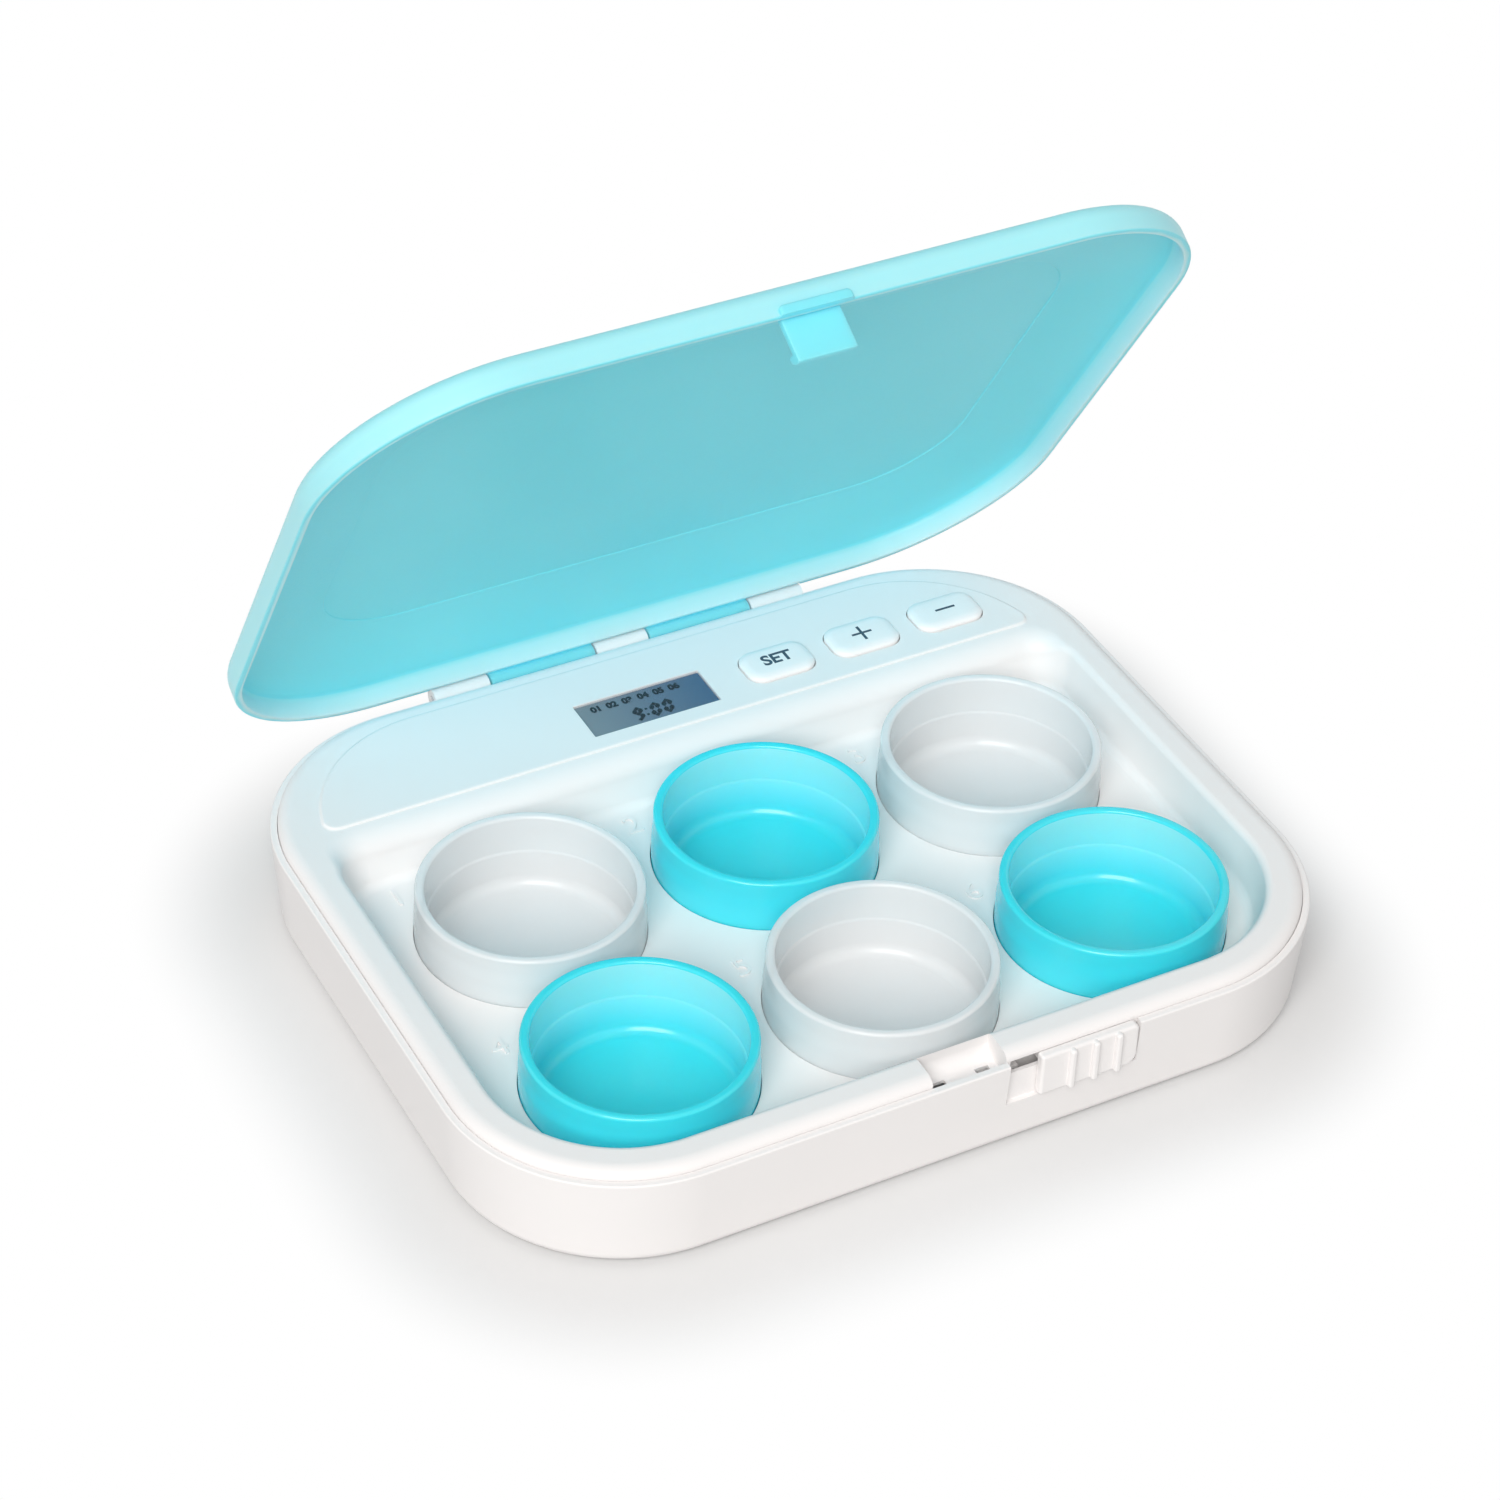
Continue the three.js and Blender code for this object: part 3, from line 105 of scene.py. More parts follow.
lcd_middle_x, control_row_y, lcd_width, lcd_height, lcd_border = -4.65, 45.8, 25.4, 9.1, 1.3
lcd_glass_wall, lens_wall, lens_sink, lcd_corner_radius = 2, 1, 1, 0.7
window_middle_x, window_middle_y, window_width, window_height = -4.9, 45.3, 25.5, 9.65
window_radius, cover_sink, cover_wall, figure_wall = 0.15, 0.2, 0.25, 0.04
pane_inset, cover_inset, cover_hollow_inset = 0.12, 0.03, 0.08
alarm_x, alarm_y, alarm_pitch, alarm_size = -13.8, 48.15, 3.15, 2.1
time_x, time_y, time_size, time_places = -5.5, 43.65, 3.1, (-1.9, 1.55, 4.05)
figure_lean, colon_left, colon_rise, colon_radius = 0.17, 0.2, 0.8, 0.27

button_positions = [22.1, 39.95, 57.8]
button_width, button_depth, button_radius, button_rise = 13.7, 8.8, 3, 1.1
button_flange, button_flange_wall, button_travel = 1, 0.7, 0.8
button_stem_radius, button_clearance = 2.2, 0.12
button_round_reach, button_round_rise, button_crown = 2, 0.9, 0.05
sign_half, stroke_half, word_size, print_wall, print_sink = 2.05, 0.27, 3.9, 0.07, 0.05
membrane_wall, dome_height = 0.6, 0.5

buzzer_x, buzzer_y, sound_hole_radius, sound_hole_ring, sound_hole_count = 47, 47, 0.9, 3.6, 6
screw_places = [(-70.5, 38.5), (70.5, 38.5), (-22.95, -52), (22.95, -52)]
screw_radius, screw_length, screw_head_radius, screw_head_height, screw_sink = 1.2, 7, 2.5, 1.5, 0.8
case_boss_radius, deck_boss_radius, boss_top, thread_pitch = 4, 3, 4.8, 0.5
foot_places = [(-63, 47), (63, 47), (-63, -47), (63, -47)]
foot_radius, foot_wall, foot_drop, foot_edge = 4.5, 1.2, 0.6, 0.5

corner_steps, edge_steps, round_steps, bar_steps, small_steps = 24, 8, 128, 48, 32
tone_drift, grain_depth = 28, 0.04


# Materials


def linear(code):
    """An sRGB hex colour as linear red, green, blue and alpha."""
    parts = [int(code[i:i + 2], 16) / 255 for i in (1, 3, 5)]
    return [c / 12.92 if c <= 0.04045 else ((c + 0.055) / 1.055) ** 2.4 for c in parts] + [1]


def add(tree, kind, inputs=None, **settings):
    """Adds a node with its settings. Its kind goes without the tree's own ShaderNode or
    GeometryNode in front. Each input takes a value, a hex colour, a socket, or a node whose
    first output in use feeds it."""
    whole = kind.startswith(("ShaderNode", "NodeGroup"))
    made = tree.nodes.new(kind if whole else tree.bl_idname.removesuffix("Tree") + kind)
    for name, value in settings.items():
        setattr(made, name, value)
    for name, value in (inputs or {}).items():
        if isinstance(value, bpy.types.Node):
            value = next(socket for socket in value.outputs if socket.enabled)
        if isinstance(value, str):
            value = linear(value)
        if isinstance(value, bpy.types.NodeSocket):
            tree.links.new(value, made.inputs[name])
        else:
            made.inputs[name].default_value = value
    return made


def empty_tree(owner):
    owner.use_nodes = True
    owner.node_tree.nodes.clear()
    return owner.node_tree


def start_material(name):
    """A new material, its empty tree and the place on the object."""
    material = bpy.data.materials.new(name)
    tree = empty_tree(material)
    return material, tree, add(tree, "TexCoord").outputs["Object"]


def finish_material(tree, tone, grain, low, high, more, first=0.0, last=1.0):
    """Ends a material. Its roughness runs from low to high as its grain runs from first to
    last."""
    sheen = add(tree, "MapRange", {
        "Value": grain, "From Min": first, "From Max": last, "To Min": low, "To Max": high})
    skin = add(tree, "BsdfPrincipled", {"Base Color": tone, "Roughness": sheen, **more})
    add(tree, "OutputMaterial", {"Surface": skin})


def moulded(name, colour, second, roughness, grain_mm, lift, gloss=0.5, light=(), alpha=1.0):
    """A moulded plastic: its tone drifts a little over centimetres, and its skin has the fine
    grain of the tool, grain_mm wide and as deep as lift says. light is what a part of the light
    does inside polypropylene: its share, the reach of red, green and blue, the reach's scale in
    metres. Its last entry is painted light: a paler glowing colour, which the piece shows where
    its own attribute is 1."""
    material, tree, place = start_material(name)
    slow = add(tree, "TexNoise", {"Vector": place, "Scale": 1 / (tone_drift * MM), "Detail": 2.0})
    fine = add(tree, "TexNoise", {
        "Vector": place, "Scale": 1 / (grain_mm * MM), "Detail": 3.0, "Roughness": 0.6})
    tone = add(tree, "Mix", {0: slow, 6: colour, 7: second}, data_type="RGBA")
    more = {"Specular IOR Level": gloss, "Alpha": alpha}
    if light:
        share, reach, scale, painted_glow = light
        more |= {"IOR": 1.49, "Subsurface Weight": share, "Subsurface Radius": reach,
                 "Subsurface Scale": scale}
        if painted_glow:
            # The paler colour is painted light, standing in for light shining through and glancing
            # off
            painted_glow_mask = add(tree, "Attribute", attribute_name="painted_glow").outputs["Fac"]
            tone = add(tree, "Mix", {0: painted_glow_mask, 6: tone, 7: painted_glow}, data_type="RGBA")
    if lift:
        more["Normal"] = add(tree, "Bump", {
            "Height": fine, "Strength": lift, "Distance": grain_depth * MM})
    finish_material(tree, tone, fine, roughness - 0.04, roughness + 0.05, more, 0.3, 0.7)
    return material


# ABS from a finely spark-eroded tool: a soft even sheen without mirror highlights
white_abs = moulded("white_abs_spark_grain", "#f4f1f0", "#f0edec", 0.42, 0.35, 0.2, 0.3)
# The buttons come from a polished tool, so their edges catch a clearer highlight
button_abs = moulded("button_abs_polished", "#f8f5f4", "#f5f2f1", 0.4, 0.3, 0.08, 0.35)
# Polypropylene lets some light through, so the lid's top looks deep. Its side wall is painted
# paler, a painted glow and sheen
lid_pp = moulded("lid_polypropylene_aqua", "#8aebff", "#80e6fc", 0.34, 0.5, 0.1, 0.25,
                 (0.6, (0.9, 1.3, 1.6), 0.004, "#d8f9fe"))
# The blue cups' insides are painted paler towards the rim: a painted glow of the light
# shining through their thin upper walls
blue_pp = moulded("cup_polypropylene_blue", "#48dfee", "#40daea", 0.2, 0.6, 0,
                  light=(0.6, (0.5, 1.2, 1.5), 0.003, "#a6f2fa"))
# Without colour it's milky, and the tray behind shows through a little
clear_pp = moulded("cup_polypropylene_natural", "#fbfcfd", "#f8fafb", 0.22, 0.6, 0,
                   light=(0.3, (1.2, 1.2, 1.2), 0.003, None), alpha=0.68)
# Pad-printed ink lies flat on the caps, slate and evenly matt
ink = moulded("pad_print_ink_slate", "#3d4c5c", "#435262", 0.5, 0.2, 0.1)
# Black plastic from a textured tool: dull, with a fine even grain
black_abs = moulded("black_moulded_plastic", "#222427", "#2a2c30", 0.5, 0.4, 0.2)
# Pressed silicone is matt all over, without a highlight
grey_silicone = moulded("key_membrane_silicone", "#b9bcc0", "#b1b4b9", 0.75, 0.3, 0.3)
# The feet's moulded rubber is the dullest finish, a little coarse
foot_rubber = moulded("foot_rubber", "#55585c", "#4c4f53", 0.85, 0.4, 0.5)
# Carbon-filled strip, cut from a sheet: dark and faintly mottled
strip_rubber = moulded("conductive_strip_rubber", "#5d5a66", "#68656f", 0.7, 0.3, 0.3)
# A drop of epoxy that ran smooth before it set, so it shines in broad soft spots
chip_epoxy = moulded("chip_epoxy_black", "#17181a", "#1f2023", 0.35, 0.8, 0.2)
# Glass cloth in epoxy, pressed flat: a satin green, slightly uneven like its weave
board_laminate = moulded("board_glass_epoxy_green", "#2f6b45", "#3a7a50", 0.4, 0.9, 0.2)
# Film shrunk tight round the cells: smooth, with one long soft highlight
cell_film = moulded("cell_shrink_film", "#4c5560", "#525c68", 0.3, 1.2, 0.1)
cell_band_film = moulded("cell_shrink_film_band", "#c9a36b", "#c29a62", 0.3, 1.2, 0.1)
# The dark segments in the liquid crystal: nearly black, with next to no sheen
lcd_ink = moulded("display_segment_dark", "#0b0d10", "#0f1216", 0.6, 0.2, 0, 0.1)

# Nickel-plated steel, turned: lines across the pins, a little darker in the grooves. They are
# 0.15 mm apart, drawn a little coarser than real ones
plated_steel, tree, place = start_material("nickel_plated_steel")
along = add(tree, "Mapping", {
    "Vector": place, "Scale": (1 / (4 * MM), 1 / (0.15 * MM), 1 / (0.15 * MM))})
lines = add(tree, "TexNoise", {"Vector": along, "Scale": 1.0, "Detail": 3.0})
tone = add(tree, "Mix", {0: lines, 6: "#c3c6ca", 7: "#aeb2b8"}, data_type="RGBA")
finish_material(tree, tone, lines, 0.24, 0.38, {"Metallic": 1.0})

# Reflective liquid crystal glass, etched matt: slate at the left, bluer towards the right
display_glass, tree, place = start_material("display_glass_slate")
share = add(tree, "MapRange", {
    "Value": add(tree, "SeparateXYZ", {"Vector": place}),
    "From Min": (window_middle_x - window_width / 2) * MM,
    "From Max": (window_middle_x + window_width / 2) * MM})
grain = add(tree, "TexNoise", {"Vector": place, "Scale": 1 / (0.25 * MM)})
tone = add(tree, "Mix", {0: share, 6: "#8e959b", 7: "#466488"}, data_type="RGBA")
finish_material(tree, tone, grain, 0.2, 0.32, {"Specular IOR Level": 0.3})

# Cast acrylic, polished: clear, with the faintest waviness
clear_acrylic, tree, place = start_material("lens_acrylic_clear")
wave = add(tree, "TexNoise", {"Vector": place, "Scale": 1 / (6 * MM)})
finish_material(tree, "#8496a6", wave, 0.03, 0.07, {
    "IOR": 1.49, "Specular IOR Level": 0.25, "Alpha": 0.08})


# Solids, drawn in millimetres


def new_object(name, data):
    obj = bpy.data.objects.new(name, data)
    bpy.context.scene.collection.objects.link(obj)
    return obj


def drawn(name, points, edges=(), faces=()):
    mesh = bpy.data.meshes.new(name)
    mesh.from_pydata(points, edges, faces)
    return new_object(name, mesh)


def evaluated(obj):
    """What the object's modifiers or its curve make, as a mesh."""
    bpy.context.view_layer.update()
    return bpy.data.meshes.new_from_object(
        obj.evaluated_get(bpy.context.evaluated_depsgraph_get()))


def keep(obj):
    """Keeps what the object's modifiers make as its own mesh."""
    mesh = evaluated(obj)
    obj.modifiers.clear()
    obj.data = mesh
    return obj


def tidy(obj, round_by=0.0, segments=3):
    """Turns a closed mesh's faces outwards, and rounds its edges where round_by is given."""
    shape = bmesh.new()
    shape.from_mesh(obj.data)
    bmesh.ops.remove_doubles(shape, verts=shape.verts, dist=1e-4)
    bmesh.ops.recalc_face_normals(shape, faces=shape.faces)
    if round_by:
        bmesh.ops.bevel(shape, geom=shape.edges[:], offset=round_by, segments=segments,
                        profile=0.5, affect="EDGES")
    shape.to_mesh(obj.data)
    shape.free()
    return obj


def block(x0, x1, y0, y1, z0, z1, round_by=0.0, segments=3):
    points = [(x, y, z) for x in (x0, x1) for y in (y0, y1) for z in (z0, z1)]
    faces = [(0, 1, 3, 2), (4, 6, 7, 5), (0, 4, 5, 1), (2, 3, 7, 6), (0, 2, 6, 4), (1, 5, 7, 3)]
    return tidy(drawn("block", points, faces=faces), round_by, segments)


def plan(x0, x1, y0, y1, radii, steps=corner_steps):
    """A rounded rectangle: radii in the order back right, back left, front left, front right."""
    return (x0, x1, y0, y1, radii if isinstance(radii, list) else [radii] * 4, steps)


def plan_about(x, y, width, depth, radius, grow, steps=4):
    hx, hy = width / 2 + grow, depth / 2 + grow
    return plan(x - hx, x + hx, y - hy, y + hy, radius, steps)


def ring(shape, grow):
    """The plan's outline grown outwards, as (x, y, outward x, outward y)."""
    x0, x1, y0, y1, radii, steps = shape
    points = []
    corners = [(x1, y1, 1, 1), (x0, y1, -1, 1), (x0, y0, -1, -1), (x1, y0, 1, -1)]
    for quarter, (x, y, side_x, side_y) in enumerate(corners):
        radius = radii[quarter]
        reach, slack = max(radius + grow, radius * 0.02), max(0, -(radius + grow))
        for step in range(steps + 1):
            angle = (quarter + step / steps) * pi / 2
            points.append((x - side_x * (radius + slack) + reach * cos(angle),
                           y - side_y * (radius + slack) + reach * sin(angle),
                           cos(angle), sin(angle)))
    return points


def level(shape, grow, z):
    return [(p[0], p[1], z) for p in ring(shape, grow)]


def loft(rings):
    """A solid through rings of as many points each, with flat ends."""
    count = len(rings[0])
    last = (len(rings) - 1) * count
    around = [(i, (i + 1) % count) for i in range(count)]
    faces = [(row + i, row + k, row + k + count, row + i + count)
             for row in range(0, last, count) for i, k in around]
    faces += [tuple(reversed(range(count))), tuple(range(last, last + count))]
    return tidy(drawn("loft", [p for one in rings for p in one], faces=faces))


def stack(shape, rows):
    return loft([level(shape, grow, z) for grow, z in rows])


def upright(shape, rows):
    """A stack that faces the front: its plan's Y stands up, and its rows go out to the front."""
    obj = stack(shape, rows)
    obj.data.transform(placed(0, 0, 0, 90, "X"))
    return obj


def arc(x, y, radius, first, last, steps):
    """Points round a middle, from one angle to another in degrees."""
    angles = [radians(first + (last - first) * i / steps) for i in range(steps + 1)]
    return [(x + radius * cos(angle), y + radius * sin(angle)) for angle in angles]


def round_over(grow, z, reach, rise, steps=edge_steps):
    return [(grow - reach * (1 - cos(i / steps * pi / 2)), z + rise * sin(i / steps * pi / 2))
            for i in range(steps + 1)]


def circle(radius, steps):
    return arc(0, 0, radius, 0, 360, steps)[:-1]


def lathe(profile, x=0, y=0, z=0, steps=round_steps):
    """Turned about Z: the profile's (radius, height) points start and end on the axis."""
    return loft([[(x + a, y + b, z + height) for a, b in circle(radius, steps)]
                 for radius, height in profile[1:-1]])


def column(x, y, z0, z1, radius, steps=small_steps):
    return lathe([(0, z0), (radius, z0), (radius, z1), (0, z1)], x, y, 0, steps)


def columns(places, *sizes, **more):
    return [column(x, y, *sizes, **more) for x, y in places]


def rod(ends, y, z, steps=bar_steps):
    """Turned about a line along X, from (x, radius) rows."""
    return loft([[(x, y + a, z + b) for a, b in circle(radius, steps)] for x, radius in ends])


def hinge_bar(x0, x1, radius):
    return rod([(x0, radius), (x1, radius)], hinge_y, hinge_z)


def run_along_x(outline, x0, x1):
    return loft([[(x, y, z) for y, z in outline] for x in (x0, x1)])


def placed(x, y, z, angle=0, axis="Y"):
    return Matrix.Translation((x, y, z)) @ Matrix.Rotation(radians(angle), 4, axis)


def combine(body, tools, operation):
    for tool in tools:
        change = body.modifiers.new("combine", "BOOLEAN")
        change.operation, change.solver, change.object = operation, "MANIFOLD", tool
        keep(body)
        bpy.data.objects.remove(tool)
    return body


def join(body, *tools):
    return combine(body, tools, "UNION")


def cut(body, *tools):
    return combine(body, tools, "DIFFERENCE")


def paint_glow_by(obj, share):
    """Writes at each point how far it is painted paler: painted light, not lit."""
    painted_glow = obj.data.attributes.new("painted_glow", "FLOAT", "POINT")
    for value, point in zip(painted_glow.data, obj.data.vertices):
        value.value = share(*point.co)


def settle(obj, name, material, stands_for=(), body="case", sharp=32, places=None):
    """Brings a finished solid into metres, shades it, gives it its material and sets it riding."""
    obj.name = obj.data.name = name
    if places:
        obj.data.transform(places)
    obj.data.transform(Matrix.Scale(MM, 4))
    obj.data.materials.clear()
    obj.data.materials.append(material)
    obj.data.shade_smooth()
    obj.data.set_sharp_from_angle(angle=radians(sharp))
    weigh = obj.modifiers.new("weigh", "WEIGHTED_NORMAL")
    weigh.keep_sharp, weigh.weight = True, 100
    keep(obj)
    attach(obj, body)
    if stands_for:
        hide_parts(*stands_for)


def start_tree(name, sizes):
    """A new tree of Geometry Nodes with its named sizes."""
    tree = bpy.data.node_groups.new(name, "GeometryNodeTree")
    for label, kind, way in [("Geometry", "Geometry", "INPUT"), ("Geometry", "Geometry", "OUTPUT"),
                             *[(*size, "INPUT") for size in sizes.items()],
                             ("Finish", "Material", "INPUT")]:
        tree.interface.new_socket(label, in_out=way, socket_type="NodeSocket" + kind)
    return tree, add(tree, "NodeGroupInput").outputs


def finish_tree(tree, given, shape):
    whole = add(tree, "RealizeInstances", {"Geometry": shape})
    finish = add(tree, "SetMaterial", {"Geometry": whole, "Material": given["Finish"]})
    add(tree, "NodeGroupOutput", {"Geometry": finish})
    return tree


def run_tree(obj, tree, **sizes):
    """Runs a tree on an object with its named sizes, and keeps the result as its mesh."""
    change = obj.modifiers.new("form", "NODES")
    change.node_group = tree
    for socket in tree.interface.items_tree:
        if socket.in_out == "INPUT" and socket.name in sizes:
            change[socket.identifier] = sizes[socket.name]
    return keep(obj)


# Repeats a piece along X at an even pitch
tree, given = start_tree("even_row", {"Count": "Int", "Pitch": "Float"})
step = add(tree, "ShaderNodeCombineXYZ", {"X": given["Pitch"]})
line = add(tree, "MeshLine", {"Count": given["Count"], "Offset": step})
even_row = finish_tree(tree, given, add(tree, "InstanceOnPoints", {
    "Points": line, "Instance": given["Geometry"]}))

# Sets one piece on each of the points it is given
tree, given = start_tree("set_on_points", {"Piece": "Object"})
piece = add(tree, "ObjectInfo", {"Object": given["Piece"]})
set_on_points = finish_tree(tree, given, add(tree, "InstanceOnPoints", {
    "Points": given["Geometry"], "Instance": piece.outputs["Geometry"]}))

# Winds round wire into a spring that narrows towards its tip
tree, given = start_tree("conical_spring", {
    "Turns": "Float", "Foot": "Float", "Tip": "Float", "Height": "Float", "Wire": "Float"})
coil = add(tree, "CurveSpiral", {
    "Resolution": 36, "Rotations": given["Turns"], "Start Radius": given["Foot"],
    "End Radius": given["Tip"], "Height": given["Height"]})
wire = add(tree, "CurvePrimitiveCircle", {"Resolution": 12, "Radius": given["Wire"]})
conical_spring = finish_tree(tree, given, add(tree, "CurveToMesh", {
    "Curve": coil, "Profile Curve": wire, "Fill Caps": True}))

# Turns a profile, drawn flat, once round a circle: the profile's X is the way out from the
# circle, and its Y is the way down
tree, given = start_tree("turned_pot", {"Radius": "Float", "Steps": "Int"})
around = add(tree, "CurvePrimitiveCircle", {
    "Radius": given["Radius"], "Resolution": given["Steps"]})
profile = add(tree, "MeshToCurve", {"Mesh": given["Geometry"]})
turned_pot = finish_tree(tree, given, add(tree, "CurveToMesh", {
    "Curve": around, "Profile Curve": profile}))


footprint = plan(-half_length, half_length, -half_depth, half_depth, corner_radius)
tray_half = half_length - tray_rim
tray_front = tray_rim - half_depth
tray_plan = plan(-tray_half, tray_half, tray_front, tray_back, [
    tray_back_radius, tray_back_radius, corner_radius - tray_rim, corner_radius - tray_rim])
well_radius = cup_radius + cup_body_grow + well_clearance
cup_places = [(column_x * cup_pitch_x, cup_row_middle + (row - 0.5) * cup_pitch_y)
              for row in (1, 0) for column_x in (-1, 0, 1)]
lip_height = seam_height + seat_gap
deck_underside = rim_height - deck_wall
panel_top = rim_height + panel_rise

knuckle_end = middle_lug_half + knuckle_length
hinge_end = knuckle_end + end_lug_length
lug_spans = [(-hinge_end, -knuckle_end), (-middle_lug_half, middle_lug_half),
             (knuckle_end, hinge_end)]
knuckle_spans = [(-knuckle_end, -middle_lug_half), (middle_lug_half, knuckle_end)]


def wall_outer_at(z):
    return half_depth + case_lip - case_draft * (seam_height - z) / seam_height


pocket_floor_y = pocket_depth - wall_outer_at(slider_foot)
tongue_front_y = tongue_set_back - half_depth
tongue_back_y = tongue_front_y + tongue_wall
tongue_foot = lip_height - tongue_reach
tongue_start, tongue_end = tongue_middle - tongue_width / 2, tongue_middle + tongue_width / 2
hook_back_y = tongue_back_y + hook_depth
hook_top = tongue_foot + hook_height
hook_starts = [tongue_start, tongue_end - hook_width]
rail_front_y = hook_back_y + running_gap
rail_back_y = rail_front_y + rail_wall
rail_top = hook_top + catch_clearance + catch_height
rail_foot = rail_top - rail_height
slider_start = pocket_start + slider_travel + running_gap
slider_end = slider_start + slider_length
slider_top = slider_foot + slider_height
pocket_end = slider_end + running_gap
web_start, web_end = slider_start + slider_edge_radius, slider_end - web_inset
slot_foot = seam_height - slot_height

bay_start = cell_middle_x - cell_length / 2 - contact_space
bay_end = cell_middle_x + cell_length / 2 + contact_space
cell_back_y = cell_front_y + cell_pitch_y
bay_front = cell_front_y - cell_radius - seat_gap
bay_back = cell_back_y + cell_radius + seat_gap
cell_level = case_floor + cell_radius + seat_gap
door_start, door_end = bay_start + seat_gap, bay_end - seat_gap
door_lip_y = half_depth - case_wall
beyond_case = half_depth + case_lip + overrun

board_top = board_level + board_wall
on_board = board_top + touch_gap
lens_top = panel_top - lens_sink - touch_gap
lens_foot = lens_top - lens_wall
glass_top = lens_foot - seat_gap
cover_top = panel_top - cover_sink
cover_foot = cover_top - cover_wall
display_height = cover_foot - 2 * figure_wall
flange_top = deck_underside - touch_gap
flange_foot = flange_top - button_flange_wall
stem_foot = on_board + membrane_wall + dome_height + button_travel + touch_gap


def case_form():
    return stack(footprint, [
        *arc(case_lip - case_draft - case_edge_radius, case_edge_radius, case_edge_radius,
             -90, 0, edge_steps),
        (case_lip - lip_round * 0.03, seam_height - lip_round),
        *[(case_lip - lip_round * (1 - cos(angle)), seam_height - lip_round * (1 - sin(angle)))
          for angle in (0.4, 0.8, 1.2, pi / 2)]])


def barrels(spans, web, gap=0):
    """The hinge's barrels on each span, with the web that carries them."""
    return [solid for x0, x1 in spans for solid in (
        hinge_bar(x0 + gap, x1 - gap, barrel_radius), run_along_x(web, x0 + gap, x1 - gap))]


def battery_bay():
    top, foot = case_floor + bay_wall_height, case_floor - bay_wall / 2
    middle_y = (cell_front_y + cell_back_y) / 2
    x0, x1, y0, y1 = (bay_start - bay_wall, bay_end + bay_wall, bay_front - bay_wall,
                      bay_back + bay_wall)
    walls = [(x0, bay_start, y0, y1), (bay_end, x1, y0, y1), (x0, x1, y0, bay_front),
             (x0, x1, bay_back, y1)]
    ribs = [(bay_start - bay_wall / 2, bay_start + contact_space / 2),
            (bay_end - contact_space / 2, bay_end + bay_wall / 2)]
    return [block(*wall, foot, top) for wall in walls] + [
        block(*rib, middle_y - bay_wall / 2, middle_y + bay_wall / 2, foot,
              case_floor + rib_height) for rib in ribs]


def door_blocks(gap, foot, floor_top, rail_back, rail_top):
    """The battery door's plate, lip and side rails, grown all round by a gap."""
    x0, x1, front = door_start - gap, door_end + gap, door_front_y - gap
    return [block(x0, x1, front, beyond_case, foot, floor_top),
            block(x0, x1, door_lip_y - gap, beyond_case, foot, door_lip_height + gap),
            block(x0 - door_rail, x1 + door_rail, front, rail_back,
                  door_wall - door_rail_height - gap, rail_top)]


def bottom_case():
    rebate_foot = seam_height - rebate_depth
    floor_grow, rebate_grow = [wall_outer_at(z) - half_depth - case_wall
                               for z in (case_floor, rebate_foot)]
    inside = stack(footprint, [
        (floor_grow - case_wall / 2, case_floor),
        (floor_grow - case_wall / 6, case_floor + case_wall / 8),
        (floor_grow, case_floor + case_wall / 2), (rebate_grow, rebate_foot + overrun)])
    shell = cut(case_form(), inside,
                stack(footprint, [(0, rebate_foot), (0, seam_height + overrun)]))
    web_foot, web_back = hinge_z - lug_web_height, half_depth - case_wall / 2
    join(shell, *columns(screw_places, screw_sink, boss_top, case_boss_radius), *battery_bay(),
         block(tongue_start - slider_travel, web_end - slider_travel, rail_front_y, rail_back_y,
               case_floor / 2, rail_foot - touch_gap),
         *barrels(lug_spans, [
             (half_depth, hinge_z), (hinge_y, hinge_z), (hinge_y + barrel_radius, hinge_z),
             (wall_outer_at(web_foot), web_foot), (web_back, web_foot), (web_back, rebate_foot),
             (half_depth, rebate_foot)]))
    for place in screw_places:
        cut(shell, column(*place, -overrun, screw_sink + screw_head_height + touch_gap,
                          screw_head_radius + seat_gap),
            column(*place, 0, boss_top + overrun, screw_radius + seat_gap))
    front, top = -beyond_case, seam_height + overrun
    cut(shell,
        *columns(foot_places, -overrun, foot_wall - foot_drop + touch_gap, foot_radius + touch_gap),
        *columns(arc(buzzer_x, buzzer_y, sound_hole_ring, 0, 360, sound_hole_count)[:-1],
                 -overrun, case_floor + overrun, sound_hole_radius),
        *door_blocks(door_gap, -overrun, case_floor + overrun, beyond_case, door_wall + door_gap),
        block(pocket_start, pocket_end, front, pocket_floor_y, slider_foot - running_gap, top),
        block(pocket_start, web_end + running_gap, front, rail_front_y, slot_foot, top),
        block(tongue_start - running_gap, tongue_end + running_gap, -half_depth, rail_front_y,
              tongue_foot - overrun, top),
        *[hinge_bar(*span, barrel_radius + running_gap) for span in knuckle_spans],
        hinge_bar(-hinge_end - overrun, hinge_end + overrun, hinge_pin_radius + hinge_pin_gap))
    settle(shell, "case_shell", white_abs, ["bottom_case"])


def tray_hollow():
    """The tray's inside: its lip rolls in over a small radius, and over a wide one at the back."""
    def roll_ring(step):
        angle = step / edge_steps * pi / 2
        points = []
        for x, y, out_x, out_y in ring(tray_plan, 0):
            share = min(1, max(0, (out_y - back_turn_share) / (1 - back_turn_share)))
            share *= share * (3 - 2 * share)
            reach, drop = [tray_lip_radius + (size - tray_lip_radius) * share
                           for size in (tray_back_slope, tray_back_drop)]
            points.append((x + out_x * reach * (1 - sin(angle)),
                           y + out_y * reach * (1 - sin(angle)),
                           rim_height - drop * (1 - cos(angle))))
        return points

    foot = [level(tray_plan, -tray_taper - tray_foot_radius * (1 - cos(angle)),
                  tray_floor_height + tray_foot_radius * (1 - sin(angle)))
            for angle in [i / (edge_steps - 1) * pi / 2 for i in range(edge_steps)]]
    return loft([[(x, y, rim_height + overrun) for x, y, _ in roll_ring(0)],
                 *[roll_ring(i) for i in range(edge_steps + 1)], *foot])


